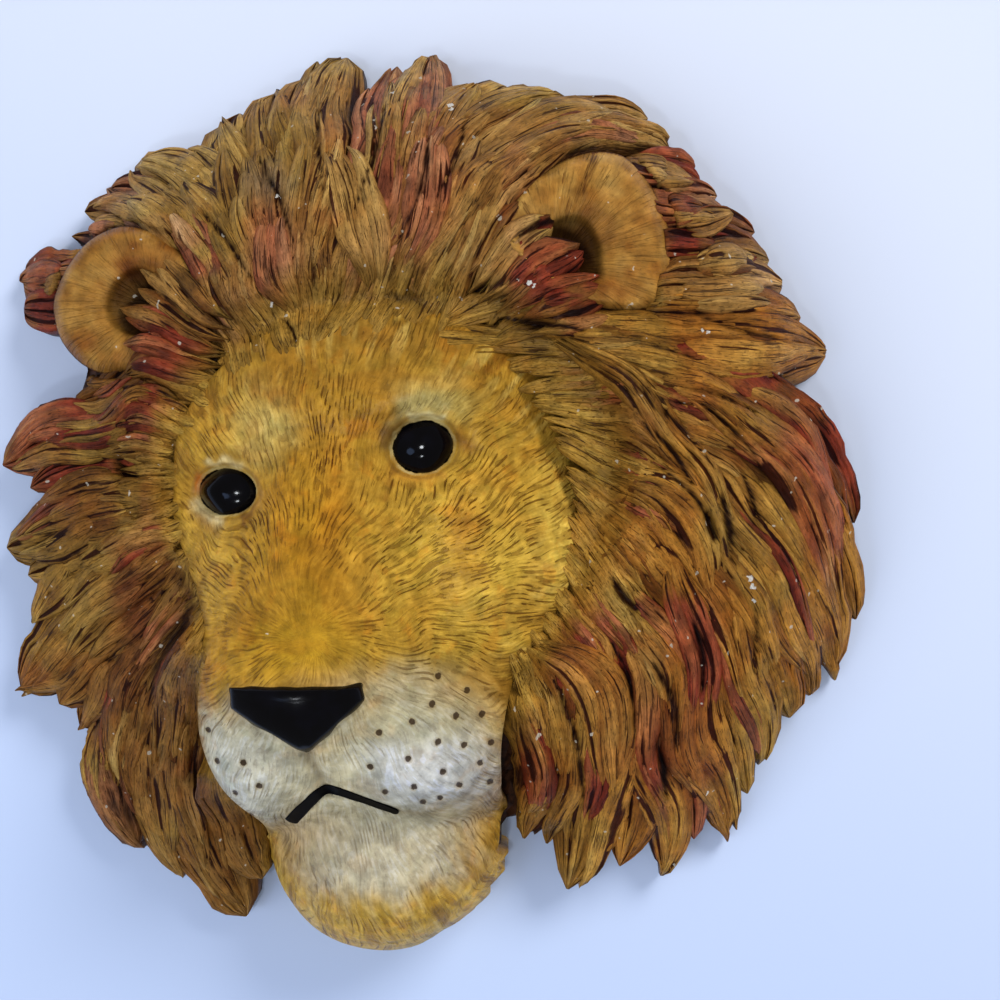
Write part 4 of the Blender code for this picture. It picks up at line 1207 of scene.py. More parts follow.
def mouth_shell():
    """The mouth's painted line: a narrow strip along the groove, thicker at its left end."""
    share = np.linspace(0, 1, 60)
    corners = np.array(MOUTH_LINE)
    bow = closed_curve(np.vstack([corners, corners[::-1]]), 400)
    places = bow[(share * 180).astype(int)]
    ends = np.clip(share / 0.03, 0.05, 1) ** 0.5 * np.clip((1 - share) / 0.10, 0.05, 1) ** 0.5
    half = (1.45 - 0.75 * share) * ends * (1 + 0.24 * (grain(share * 14, 0.5, seed=33) - 0.5))
    u = np.linspace(-1, 1, 8)
    edge = places[:, None] + sideways(places)[0][:, None] * (half[:, None] * u)[..., None]
    across, up = edge[..., 0], edge[..., 1]
    groove = MOUTH_DEPTH * (1 - smooth_step(line_distance(across, up, MOUTH) / MOUTH_HALF_WIDTH))
    level = head_level(across, up) + 0.8 * groove + 0.12 + 0.06 * (1 - u**2)
    top = np.dstack([edge, level])
    down = (0, 0, LINE_FOOT)
    return black_shell(np.concatenate([top[:, :1] - down, top, top[:, -1:] - down], axis=1), MOUTH_BLACK)


# Long lines cut deep into the mane, as places in the picture, with their half width in millimetres
DEEP_LINES = (
    (((715, 496), (724, 528), (726, 562)), 1.3), (((701, 510), (702, 524), (708, 540)), 1.2),
    (((609, 577), (618, 592), (634, 608)), 1.5), (((617, 392), (648, 402), (680, 408)), 0.8),
    (((641, 408), (668, 424), (694, 452)), 0.8), (((690, 404), (722, 428), (752, 458)), 0.8),
    (((640, 430), (668, 456), (684, 484)), 0.9), (((735, 470), (748, 500), (752, 532)), 0.9),
    (((655, 470), (690, 500), (712, 540)), 0.8), (((640, 395), (700, 396), (745, 412)), 0.7),
    (((690, 318), (735, 334), (775, 338)), 0.8), (((600, 335), (650, 352), (700, 366)), 0.8),
    (((690, 620), (700, 650), (702, 690)), 1.2), (((650, 660), (672, 700), (676, 745)), 1.2),
    (((655, 735), (664, 768), (668, 800)), 1.1), (((752, 604), (756, 640), (752, 676)), 0.7),
    (((560, 690), (576, 740), (584, 800)), 1.0), (((610, 640), (628, 680), (634, 730)), 0.9),
    (((515, 250), (535, 236), (565, 226), (588, 236), (597, 258)), 1.3),
    (((505, 322), (540, 330), (582, 338)), 1.0), (((430, 150), (424, 200), (404, 250)), 0.8),
    (((468, 120), (458, 165), (440, 210)), 0.8), (((385, 110), (378, 160), (362, 210)), 0.8),
    (((318, 110), (322, 160), (330, 205)), 0.8), (((260, 160), (284, 205), (300, 250)), 0.9),
    (((205, 215), (232, 245), (258, 285)), 0.9), (((382, 297), (410, 303), (442, 300)), 0.7),
    (((455, 300), (500, 292), (540, 283)), 0.6), (((302, 347), (297, 334), (287, 321)), 0.7),
    (((520, 820), (508, 780), (506, 740)), 1.0),
)

LINE_DEPTH, LINE_STEPS = 1.5, 12


def cut_deep_lines(shells):
    """Lowers the surface along each deep line by up to one and a half millimetres and washes it dark; the
    cut fades with distance as a bell curve, and thins towards the line's ends."""
    for line, half in DEEP_LINES:
        corners = [seen_place(right_of, down, MANE_SEEN) for right_of, down in line]
        low, high = np.min(corners, axis=0) - 4 * half, np.max(corners, axis=0) + 4 * half
        there_and_back = corners + corners[::-1][1:-1]
        bow = closed_curve(there_and_back, LINE_STEPS * len(there_and_back))
        bow = bow[: LINE_STEPS * (len(corners) - 1) + 1]
        for shell in shells:
            points = shell["points"]
            across, up = points[:, 0] / MM, points[:, 2] / MM
            near = (across > low[0]) & (across < high[0]) & (up > low[1]) & (up < high[1])
            near = near & (points[:, 1] < -3 * MM)
            if not near.any():
                continue
            gap = np.hypot(across[near][:, None] - bow[:, 0], up[near][:, None] - bow[:, 1])
            width = 0.85 * half * (0.35 + 0.65 * np.sin(np.pi * gap.argmin(axis=1) / (len(bow) - 1)))
            cut = bell(gap.min(axis=1), width)
            points[near, 1] = np.minimum(points[near, 1] + LINE_DEPTH * MM * cut, -2.5 * MM)
            shell["wash_and_shade"][near] = np.maximum(shell["wash_and_shade"][near], 0.78 * cut)
            shell["paint"][near] = shell["paint"][near] * (1 - 0.6 * cut)[:, None]


def wash_and_shade_hollows(shells, height):
    """Washes the hollows dark and paints shade into them: every place that lies under the surface map's
    average over seven millimetres gets wash and a deeper tone, partly the paint's wash and partly painted
    shade where the locks overlap, and crests are brushed lighter."""
    average = averaged(height, 3, True)
    for shell in shells:
        across, up, level = shell["loops"].reshape(-1, 3).T
        under = map_at(average, across, up) - level
        off_face = 0.25 + 0.75 * smooth_step((face_ratio(across, up) - 1.02) / 0.2)
        hollow = smooth_step((under - 0.2) / 3.4) * off_face
        crest = smooth_step((-under - 0.2) / 2.6)
        # Painted shade: the wash and deeper tone in the hollows stand partly for the shade between
        # overlapping locks
        shell["wash_and_shade"] = np.maximum(shell["wash_and_shade"], 0.55 * hollow)
        shell["paint"] = shell["paint"] * (1 - 0.45 * hollow + 0.14 * crest)[:, None]


# Materials

# Noise drawn along the strands: its scale across and along them, shift, detail, roughness and twist
STRAND_MARKS = {
    "strokes": (2.1, 0.10, (0.0, 0.0, 0.0), 2.0, 0.5, 0.35),
    "fine": (4.2, 0.34, (13.0, 5.0, 0.0), 2.0, 0.6, 0.4),
    "brushed": (0.95, 0.085, (31.0, 7.0, 0.0), 3.0, 0.6, 0.4),
    "nicks": (4.6, 0.95, (3.0, 17.0, 0.0), 2.0, 0.6, 0.6),
    "dry": (3.6, 0.24, (23.0, 11.0, 0.0), 2.0, 0.6, 0.5),
}
# Tints that paint is multiplied by, and colours laid over it, as light
OLIVE_CLOUD, WARM_CLOUD = (0.98, 1.01, 0.84, 1.0), (1.02, 0.80, 0.62, 1.0)
DRY_BRUSHED, PALE_RIDGE = (1.38, 1.42, 1.55, 1.0), (1.26, 1.38, 1.85, 1.0)
# The mane's and ears' wash tints darken both the grooves' wash and the painted shade in their wash attribute
MANE_WASH_AND_SHADE, EAR_WASH_AND_SHADE, FACE_WASH = (0.11, 0.045, 0.02, 1.0), (0.22, 0.12, 0.06, 1.0), (0.22, 0.11, 0.05, 1.0)
# The pale fleck colour is partly specks in the paint and partly painted glints on the varnish
BARE_CHIP, PALE_FLECK_AND_GLINT = (0.62, 0.60, 0.55, 1.0), (0.50, 0.46, 0.38, 1.0)
# The lid crease colour is painted shade along the crease round each eye
LID_PALE, LID_CREASE_SHADE, LID_BLACK = (0.62, 0.50, 0.22, 1.0), (0.14, 0.07, 0.02, 1.0), (0.004, 0.003, 0.002, 1.0)
WHISKER_RING, WHISKER_DOT = (0.30, 0.22, 0.10, 1.0), (0.035, 0.018, 0.008, 1.0)
DEEP_BLACK = (0.002, 0.0018, 0.004, 1.0)
CREAM_RESIN, STAINED_RESIN = (0.56, 0.50, 0.38, 1.0), (0.44, 0.37, 0.26, 1.0)
PITTED_RESIN, RUN_OVER = (0.22, 0.17, 0.11, 1.0), (0.060, 0.026, 0.010, 1.0)
# The core's near-black front is wash and also painted shade in the gaps between the locks
DARK_WASH_AND_SHADE, THIN_WASH_AND_SHADE = (0.016, 0.005, 0.002, 1.0), (0.055, 0.018, 0.006, 1.0)
# Hatching on the face: waves round the nose in the first ring, a stroke's width and length, and the
# natural logarithm of two
HATCH_WAVES, HATCH_WIDTH, HATCH_LENGTH, LOG_TWO = 80, 0.7, 3.2, 0.6931
# Clouds of tint over the face: scale, shift, where each starts, its strength and its tint
FACE_MOTTLE = (
    (70.0, (0.0, 0.0, 0.0), 0.46, 0.35, (1.00, 0.98, 0.92, 1.0)),
    (150.0, (0.3, 0.1, 0.7), 0.56, 0.55, (1.06, 0.80, 0.60, 1.0)),
    (190.0, (0.9, 0.4, 0.2), 0.54, 0.50, (0.80, 0.88, 0.80, 1.0)),
    (230.0, (0.5, 0.8, 0.1), 0.52, 0.60, (1.14, 1.18, 1.30, 1.0)),
)


class Paintwork:
    """A few short ways to put nodes together in one material. Each takes numbers and sockets alike, and most
    return the socket that carries their result."""

    def __init__(self, name):
        self.material = bpy.data.materials.new(name)
        self.material.use_nodes = True
        self.tree = self.material.node_tree
        self.shader = self.tree.nodes["Principled BSDF"]
        self.place = self.add("ShaderNodeTexCoord").outputs["Object"]

    def add(self, kind, **settings):
        """A new node with its settings."""
        node = self.tree.nodes.new(kind)
        for setting, value in settings.items():
            setattr(node, setting, value)
        return node

    def link(self, source, socket):
        """A link from one socket to another."""
        self.tree.links.new(source, socket)

    def put(self, node, values):
        """The node with a link or a number on each named socket."""
        for socket, value in values.items():
            if isinstance(value, bpy.types.NodeSocket):
                self.link(value, node.inputs[socket])
            else:
                node.inputs[socket].default_value = value
        return node

    def attribute(self, name, output="Color"):
        """A value that the mesh holds at its places."""
        return self.add("ShaderNodeAttribute", attribute_name=name).outputs[output]

    def maths(self, operation, a, b=0.0, c=0.0):
        """One sum on up to three numbers."""
        return self.put(self.add("ShaderNodeMath", operation=operation), {0: a, 1: b, 2: c}).outputs[0]

    def vector(self, operation, a, b=(0.0, 0.0, 0.0)):
        """One sum on up to two places."""
        return self.put(self.add("ShaderNodeVectorMath", operation=operation), {0: a, 1: b}).outputs[0]

    def stretched(self, source, scale, location=(0.0, 0.0, 0.0)):
        """The place multiplied by a scale and shifted."""
        values = {"Vector": source, "Scale": scale, "Location": location}
        return self.put(self.add("ShaderNodeMapping"), values).outputs[0]

    def length(self, source):
        """The distance of a place from the origin."""
        return self.put(self.add("ShaderNodeVectorMath", operation="LENGTH"), {0: source}).outputs[1]

    def parts(self, source):
        """The three numbers of a place."""
        return self.put(self.add("ShaderNodeSeparateXYZ"), {0: source}).outputs

    def noise(self, source, scale, detail=2.0, roughness=0.5, distortion=0.0):
        """Soft noise from 0 to 1."""
        node = self.add("ShaderNodeTexNoise")
        self.put(node, {"Vector": source, "Scale": scale, "Detail": detail})
        return self.put(node, {"Roughness": roughness, "Distortion": distortion}).outputs[0]

    def step(self, value, low, high, out_low=0.0, out_high=1.0):
        """An eased step from one number to another as the value goes from low to high."""
        node = self.add("ShaderNodeMapRange", interpolation_type="SMOOTHSTEP")
        return self.put(node, {0: value, 1: low, 2: high, 3: out_low, 4: out_high}).outputs[0]

    def blend(self, share, a, b, kind="MIX"):
        """The first colour with the second laid over it, as strongly as the share says."""
        node = self.add("ShaderNodeMix", data_type="RGBA", blend_type=kind)
        return self.put(node, {0: share, 6: a, 7: b}).outputs[2]

    def tinted(self, share, colour, tint):
        """The colour multiplied by a tint, as strongly as the share says."""
        return self.blend(share, colour, tint, "MULTIPLY")

    def toned(self, colour, tone):
        """The colour made lighter or darker by one number."""
        grey = self.put(self.add("ShaderNodeCombineColor"), {0: tone, 1: tone, 2: tone}).outputs[0]
        return self.tinted(1.0, colour, grey)

    def roughened(self, value, noise, reach):
        """The value moved up and down by noise, by half the reach at most."""
        return self.maths("ADD", value, self.maths("MULTIPLY_ADD", noise, reach, -reach / 2))

    def drifted(self, scale, detail, reach):
        """The place moved across and up by noise, by half the reach at most, without its level."""
        noise = self.add("ShaderNodeTexNoise")
        self.put(noise, {"Vector": self.place, "Scale": scale, "Detail": detail})
        drift = self.vector("SUBTRACT", noise.outputs[1], (0.5, 0.5, 0.5))
        drift = self.vector("MULTIPLY", drift, (reach, 0.0, reach))
        return self.vector("MULTIPLY", self.vector("ADD", self.place, drift), (1.0, 0.0, 1.0))

    def finished(self, colour, roughness, height, depth, strength, gloss):
        """The material, with its colour, roughness, bump and gloss on the shader's own sockets."""
        bump = self.add("ShaderNodeBump")
        self.put(bump, {"Height": height, "Distance": depth, "Strength": strength})
        self.link(colour, self.shader.inputs["Base Color"])
        self.link(roughness, self.shader.inputs["Roughness"])
        self.link(bump.outputs[0], self.shader.inputs["Normal"])
        self.shader.inputs["Specular IOR Level"].default_value = gloss
        return self.material


# Bare spots where the paint has chipped to the white resin: place in the picture, level and radius
CHIPS = (
    (452, 118, 18, 0.6), (453, 123, 18, 0.5), (395, 103, 16, 0.45), (283, 203, 26, 0.45), (272, 305, 36, 0.5),
    (529, 287, 36, 0.5), (533, 290, 36, 0.4), (698, 334, 28, 0.5), (703, 336, 28, 0.4), (743, 576, 24, 0.8),
    (746, 585, 24, 0.7), (748, 598, 24, 0.6), (705, 790, 14, 0.5), (675, 865, 10, 0.5), (278, 627, 40, 0.35),
)


def spots(work, centres, ragged):
    """A mask of round spots, given as (across, up, radius) in millimetres: noise moves each place a
    little, and the distance from the nearest spot's middle decides."""
    place = work.drifted(1100.0, 2.0, ragged)
    covered = 0.0
    for x, z, radius in centres:
        near = work.add("ShaderNodeVectorMath", operation="DISTANCE")
        work.put(near, {0: place, 1: (x * MM, 0.0, z * MM)})
        covered = work.maths("MAXIMUM", covered, work.step(near.outputs[1], radius * MM, 0.7 * radius * MM))
    return covered


def chipped(work, colour, scale=1.0):
    """The colour with pale chips in it, where the bare resin shows."""
    centres = [(*seen_place(right_of, down, level), radius) for right_of, down, level, radius in CHIPS]
    bare = work.maths("MULTIPLY", spots(work, centres, 0.0018), 0.85 * scale)
    return work.blend(bare, colour, BARE_CHIP)


def fur_paint(name, wash_and_shade_tint, strand_scale, streaked=1.0):
    """Painted strands: the piece's own paint, brushed lighter and darker along the lock and worn in
    patches, with cloudy shifts of tint and pale streaks of dry brushing. Dark strokes, finer lines, short
    nicks and the wash in the carved grooves, with the painted shade that the wash attribute carries, lie
    over it, then pale flecks that are partly specks and partly painted glints, and chips, under a thin
    satin varnish."""
    work = Paintwork(name)
    strand = work.add("ShaderNodeUVMap", uv_map="strand").outputs[0]
    marks = {}
    for mark, (across, along, shift, detail, rough, twist) in STRAND_MARKS.items():
        place = work.stretched(strand, (across * strand_scale, along * strand_scale, 1.0), shift)
        marks[mark] = work.noise(place, 1.0, detail, rough, twist)
    fine, brushed = marks["fine"], marks["brushed"]
    somewhat = 0.3 + 0.7 * streaked
    lines = work.step(marks["strokes"], 0.605, 0.650)
    fine_lines = work.step(fine, 0.58, 0.67, 0.0, 0.40 * streaked)
    nicks = work.step(marks["nicks"], 0.60, 0.67, 0.0, 0.62 * somewhat)
    dry = work.step(marks["dry"], 0.58, 0.66, 0.0, 0.75 * streaked)
    # The wash attribute holds the grooves' wash and painted shade in the hollows and at the locks' edges
    dark = work.step(work.roughened(work.attribute("wash_and_shade", "Fac"), fine, 0.9), 0.25, 0.72)
    for mark in (work.maths("MULTIPLY", lines, 0.85 * streaked), fine_lines, nicks):
        dark = work.maths("MAXIMUM", dark, mark)
    clouds = work.noise(work.place, 62.0, 3.0, 0.55)
    warm = work.noise(work.stretched(work.place, (1.0, 1.0, 1.0), (0.3, 0.1, 0.7)), 110.0, 2.0, 0.5)
    worn = work.step(work.noise(work.place, 260.0, 4.0, 0.65), 0.30, 0.70, 0.71, 1.17)
    swing = 0.24 * somewhat
    tone = work.maths("MULTIPLY", work.step(brushed, 0.30, 0.70, 1 - swing, 1 + swing), worn)
    colour = work.toned(work.attribute("paint"), tone)
    colour = work.tinted(work.step(clouds, 0.40, 0.66, 0.0, 0.40), colour, OLIVE_CLOUD)
    colour = work.tinted(work.step(warm, 0.50, 0.72, 0.0, 0.5), colour, WARM_CLOUD)
    colour = work.tinted(dry, colour, DRY_BRUSHED)
    colour = work.tinted(dark, colour, wash_and_shade_tint)
    # Painted glints: pale flecks, partly specks and partly standing for the varnish's small glints
    flecks_and_glints = work.step(work.noise(work.place, 520.0, 1.0, 0.5), 0.755, 0.775, 0.0, 0.7)
    colour = chipped(work, work.blend(flecks_and_glints, colour, PALE_FLECK_AND_GLINT))
    cuts = work.maths("ADD", lines, work.maths("MULTIPLY", work.maths("ADD", fine_lines, nicks), 0.6))
    height = work.maths("SUBTRACT", work.maths("MULTIPLY_ADD", dry, 0.4, brushed), cuts)
    return work.finished(colour, work.step(fine, 0.2, 0.8, 0.58, 0.42), height, 0.0005, 0.8, 0.16)


def nose_strokes(work):
    """Strokes as noise, and hatching as waves, that point away from the nose. Both are laid out by the
    bearing and by the doublings of the distance; each doubling has its own ring with twice as many, and
    neighbours blend."""
    centre = (STROKE_CENTRE[0] * MM, 0.0, STROKE_CENTRE[1] * MM)
    out = work.vector("SUBTRACT", work.drifted(60.0, 1.0, 0.009), centre)
    bearing = work.vector("NORMALIZE", out)
    parts = work.parts(out)
    angle = work.maths("ARCTAN2", parts[2], parts[0])
    doubling = work.maths("LOGARITHM", work.maths("DIVIDE", work.length(out), STROKE_RING * MM), 2.0)
    strokes, waves = 0.0, 0.0
    for ring in range(4):
        cells = STROKE_RING * 2.0**ring
        sides = work.add("ShaderNodeVectorMath", operation="SCALE")
        work.put(sides, {0: bearing, "Scale": cells / HATCH_WIDTH})
        outward = work.maths("MULTIPLY", doubling, LOG_TWO * cells / HATCH_LENGTH)
        axis = work.put(work.add("ShaderNodeCombineXYZ"), {1: outward}).outputs[0]
        values = work.noise(work.vector("ADD", sides.outputs[0], axis), 1.0, 1.0, 0.5)
        wave = work.maths("COSINE", work.maths("MULTIPLY", angle, float(HATCH_WAVES * 2**ring)))
        away = work.maths("MAXIMUM", doubling, 0.0)
        if ring > 0:
            away = work.maths("ABSOLUTE", work.maths("SUBTRACT", doubling, float(ring)))
        share = work.maths("MAXIMUM", work.maths("SUBTRACT", 1.0, away), 0.0)
        strokes = work.maths("MULTIPLY_ADD", values, share, strokes)
        waves = work.maths("MULTIPLY_ADD", wave, share, waves)
    return strokes, waves


def eye_rims(work, colour):
    """The colour with a broken pale rim, painted shade along a crease and a black edge round each eye."""
    rough = work.noise(work.place, 420.0, 2.0, 0.6)
    broken = work.step(work.noise(work.place, 190.0, 2.0, 0.5), 0.40, 0.60, 0.15, 0.62)
    for side in EYES:
        half_width, half_height, turn = BEADS[side][:3]
        from_eye = work.vector("SUBTRACT", work.place, (EYES[side][0] * MM, 0.0, EYES[side][1] * MM))
        upright = work.add("ShaderNodeVectorRotate", rotation_type="Y_AXIS")
        work.put(upright, {"Vector": from_eye, "Angle": float(np.radians(turn))})
        shares = work.vector("MULTIPLY", upright.outputs[0], (1 / half_width / MM, 0.0, 1 / half_height / MM))
        radius = work.roughened(work.length(shares), rough, 0.16)
        pale = work.maths("MULTIPLY", work.step(radius, 1.02, 1.07), work.step(radius, 1.20, 1.10))
        colour = work.blend(work.maths("MULTIPLY", pale, broken), colour, LID_PALE)
        # Painted shade: a dark ring along each eye's crease
        crease_shade = work.maths("MULTIPLY", work.step(radius, 1.18, 1.24), work.step(radius, 1.38, 1.27))
        colour = work.blend(work.maths("MULTIPLY", crease_shade, 0.35), colour, LID_CREASE_SHADE)
        colour = work.blend(work.step(radius, 1.07, 1.03), colour, LID_BLACK)
    return colour


def face_paint():
    """The face's paint: mottled patches, engraved hatching that points away from the nose in clusters of
    long thin lines with dark wash in them and pale ridges beside them, rims of the eyes, whisker dots, and
    a satin varnish. The paint's alpha says how strong the strokes are."""
    work = Paintwork("face_paint")
    zone = work.attribute("paint", "Alpha")
    strokes, waves = nose_strokes(work)
    more = work.maths("MULTIPLY_ADD", zone, 0.20, -0.14)
    crowds = work.maths("ADD", work.noise(work.place, 105.0, 2.0, 0.5), more)
    cluster = work.maths("MULTIPLY_ADD", work.step(crowds, 0.46, 0.58), 0.85, 0.15)
    clustered = work.maths("MULTIPLY", work.step(strokes, 0.47, 0.55), cluster)
    combed = work.step(work.roughened(strokes, work.noise(work.place, 240.0, 2.0, 0.5), 0.42), 0.44, 0.38)
    ridges = work.maths("MULTIPLY", work.step(waves, -0.10, -0.55), clustered)
    ridges = work.maths("MAXIMUM", ridges, work.maths("MULTIPLY", combed, 0.75))
    flecked = work.step(work.roughened(strokes, work.noise(work.place, 170.0, 2.0, 0.5), 0.42), 0.600, 0.640)
    lines = work.maths("MULTIPLY", work.step(waves, 0.35, 0.75), clustered)
    lines = work.maths("MAXIMUM", lines, work.maths("MULTIPLY", flecked, 0.5))
    strength = work.maths("MINIMUM", work.maths("MULTIPLY_ADD", zone, 0.95, 0.05), 1.0)
    lines = work.maths("MULTIPLY", lines, strength)
    speckle = work.noise(work.place, 900.0, 2.0, 0.6)
    dark = work.step(work.roughened(work.attribute("wash_and_shade", "Fac"), speckle, 0.5), 0.35, 0.8)
    dark = work.maths("MAXIMUM", dark, work.maths("MULTIPLY", lines, 0.95))
    amount = work.maths("MINIMUM", work.maths("MULTIPLY_ADD", zone, 1.6, -0.16), 1.0)
    amount = work.maths("MAXIMUM", amount, 0.0)
    swing = work.maths("MULTIPLY_ADD", work.step(strokes, 0.30, 0.62, 0.08, -0.09), amount, 1.0)
    worn = work.step(work.noise(work.place, 300.0, 4.0, 0.65), 0.30, 0.70, 0.73, 1.18)
    colour = work.toned(work.attribute("paint"), work.maths("MULTIPLY", swing, worn))
    mottled = work.maths("MULTIPLY_ADD", amount, 0.75, 0.25)
    for scale, shift, low, cloud_strength, tint in FACE_MOTTLE:
        cloud = work.noise(work.stretched(work.place, (1.0, 1.0, 1.0), shift), scale, 3.0, 0.6)
        cloud = work.maths("MULTIPLY", work.step(cloud, low, low + 0.12, 0.0, cloud_strength), mottled)
        colour = work.tinted(cloud, colour, tint)
    colour = work.tinted(work.maths("MULTIPLY", ridges, 0.42), colour, PALE_RIDGE)
    colour = eye_rims(work, work.tinted(dark, colour, FACE_WASH))
    for radius, strength_there, shade in ((1.15, 0.35, WHISKER_RING), (0.78, 0.92, WHISKER_DOT)):
        dots = spots(work, [(x, z, radius) for x, z in WHISKER_PLACES], 0.0006)
        colour = work.blend(work.maths("MULTIPLY", dots, strength_there), colour, shade)
    height = work.maths("ADD", work.maths("MULTIPLY", strokes, amount), work.maths("MULTIPLY", lines, 1.2))
    height = work.maths("SUBTRACT", work.maths("MULTIPLY", worn, 0.8), height)
    roughness = work.step(speckle, 0.3, 0.7, 0.34, 0.46)
    return work.finished(chipped(work, colour, 0.6), roughness, height, 0.0004, 0.8, 0.14)


def black_paint(name, roughness, brushed, gloss=0.11):
    """Thick black paint, very slightly uneven, from glossy on the eyes to matt on the mouth."""
    work = Paintwork(name)
    drift = work.noise(work.place, 260.0, 2.0, 0.5)
    colour = work.blend(work.step(drift, 0.4, 0.75, 0.0, 0.5), work.attribute("paint"), DEEP_BLACK)
    rough = work.step(drift, 0.3, 0.7, roughness, roughness + 0.06)
    return work.finished(colour, rough, drift, 0.0001, brushed, gloss)


def cast_resin():
    """The casting under the fur: near-black wash in the hollows, which also stands for painted shade deep in
    the gaps between the locks, and on the flat back bare cream resin with fine pits, cloudy stains and
    paint that ran over from the rim."""
    work = Paintwork("cast_resin")
    clouds = work.noise(work.place, 32.0, 4.0, 0.6)
    pits = work.noise(work.place, 620.0, 2.0, 0.5)
    behind = work.step(work.parts(work.place)[1], -0.0125, -0.0122)
    radius = work.length(work.vector("MULTIPLY", work.place, (10.6, 0.0, 10.2)))
    rim = work.step(work.roughened(radius, clouds, 0.5), 0.80, 0.98)
    bare = work.blend(work.step(clouds, 0.35, 0.7), CREAM_RESIN, STAINED_RESIN)
    bare = work.blend(work.step(pits, 0.66, 0.74, 0.0, 0.6), bare, PITTED_RESIN)
    bare = work.blend(rim, bare, RUN_OVER)
    # Painted shade: the core's front is near black, for the shade deep between the locks
    wash_and_shade = work.blend(work.step(pits, 0.35, 0.65), DARK_WASH_AND_SHADE, THIN_WASH_AND_SHADE)
    facing = work.parts(work.add("ShaderNodeNewGeometry").outputs["True Normal"])[1]
    sloped = work.maths("SUBTRACT", 1.0, work.step(facing, -0.2, 0.2))
    colour = work.blend(behind, wash_and_shade, bare)
    outside = work.maths("MULTIPLY", work.step(radius, 0.60, 0.62), sloped)
    colour = work.blend(outside, colour, wash_and_shade)
    roughness = work.step(clouds, 0.3, 0.7, 0.50, 0.68)
    return work.finished(colour, roughness, work.maths("ADD", pits, clouds), 0.0004, 0.5, 0.2)


# The pieces

# The core is drawn in along its normals, lowered under the mane, and stays under the face and inside the
# ears by these distances; round the nail pocket it stays as it is
CORE_INSET, CORE_LOWERED, UNDER_FACE, UNDER_EAR = 0.9, 2.4, 3.0, 2.0
POCKET_ACROSS, POCKET_LOW, POCKET_HIGH, POCKET_DEPTH = 10.5, 34.0, 56.5, 13.5


def core_piece(material):
    """The solid itself, drawn in by nine tenths of a millimetre along its normals, lowered further under
    the mane and kept under the face and the ears' hollows. Its back stays in its plane, and the pocket
    keeps its walls."""
    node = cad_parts["lion_head"]
    mesh = node.data.copy()
    mesh.name = "casting_core"
    mesh.materials.clear()
    mesh.materials.append(material)
    merge = bmesh.new()
    merge.from_mesh(mesh)
    bmesh.ops.remove_doubles(merge, verts=merge.verts, dist=1e-6)
    merge.to_mesh(mesh)
    merge.free()
    count = len(mesh.vertices)
    points, normals = np.zeros(count * 3, np.float32), np.zeros(count * 3, np.float32)
    mesh.vertices.foreach_get("co", points)
    mesh.vertices.foreach_get("normal", normals)
    points, normals = points.reshape(-1, 3), normals.reshape(-1, 3)
    across, up, level = points[:, 0] / MM, points[:, 2] / MM, -points[:, 1] / MM
    pocket = (np.abs(across) < POCKET_ACROSS) & (up > POCKET_LOW) & (up < POCKET_HIGH)
    pocket = pocket & (level < POCKET_DEPTH)
    on_back = points[:, 1] > -1e-5
    drawn_in = points - CORE_INSET * MM * normals
    front = np.minimum(drawn_in[:, 1], -0.3 * MM)
    lowered = np.minimum(front + CORE_LOWERED * MM, -1.0 * MM)
    cap = under_face(across, up, mane_level(across, up)) - UNDER_FACE
    capped = np.maximum(front, -cap * MM)
    depth = np.where(face_ratio(across, up) < 1.3, np.maximum(capped, lowered), lowered)
    for side in EARS:
        under_ear = (UNDER_EAR - ear_level(side, across, up)) * MM
        depth = np.where(ear_ratio(side, across, up) < 0.7, np.maximum(depth, under_ear), depth)
    drawn_in[:, 1] = np.where(on_back, points[:, 1], depth)
    drawn_in = np.where(pocket[:, None], points, drawn_in)
    mesh.vertices.foreach_set("co", drawn_in.astype(np.float32).ravel())
    mesh.shade_flat()
    mesh.update()
    made = put_in_scene("casting_core", mesh)
    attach(made, "root")
    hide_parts("lion_head")
    print("PIECE casting_core", len(mesh.polygons))
    return made


def dress():
    """Makes every piece of the plaque."""
    base = {region: [] for region in REGIONS}
    for number, values in enumerate(LOCKS.values()):
        region = region_of(number)
        base[region] += [base_lock(values, tier, number, region) for tier in LOCK_TIERS]
    face = face_shell()
    height = surface_map([shell for group in base.values() for shell in group] + [face])
    wisps, height = all_wisps(height)
    smooth_map = averaged(height, 1)
    for number, (root, bend, tip, width, paint) in enumerate(CURLS.values()):
        region = "right" if root[0] > 10 else "crown"
        wisps[region] += free_lock(root, bend, tip, width, (paint, region), 700 + 10 * number, smooth_map)
    ears = {side: ear_shell(side) for side in EARS}
    height = surface_map(list(ears.values()), height)
    hair = ear_hair(averaged(height, 1))
    height = surface_map(hair, height)
    mane_shells = [shell for group in (*base.values(), *wisps.values()) for shell in group]
    wash_and_shade_hollows(mane_shells + list(ears.values()) + hair, height)
    cut_deep_lines(mane_shells + hair + [face])

    mane_paint = fur_paint("mane_paint", MANE_WASH_AND_SHADE, 1.0)
    ear_paint = fur_paint("ear_paint", EAR_WASH_AND_SHADE, 0.8, 0.12)
    eye_paint = black_paint("eye_paint", 0.06, 0.15)
    core_piece(cast_resin())
    make_piece("face", [face], face_paint())
    for region in REGIONS:
        make_piece("mane_" + region, base[region], mane_paint)
        make_piece("wisps_" + region, wisps[region], mane_paint)
    for side, shell in ears.items():
        make_piece("ear_" + side, [shell], ear_paint)
    make_piece("ear_hair", hair, mane_paint)
    for side in EYES:
        make_piece("eye_" + side, [eye_shell(side)], eye_paint)
    make_piece("nose_leather", [nose_shell()], black_paint("nose_paint", 0.20, 0.6))
    make_piece("mouth_line", [mouth_shell()], black_paint("mouth_paint", 0.50, 0.6, 0.04))


dress()

# Table, light and camera

TABLE_REACH, TABLE_GAP = 1.5, 0.0008
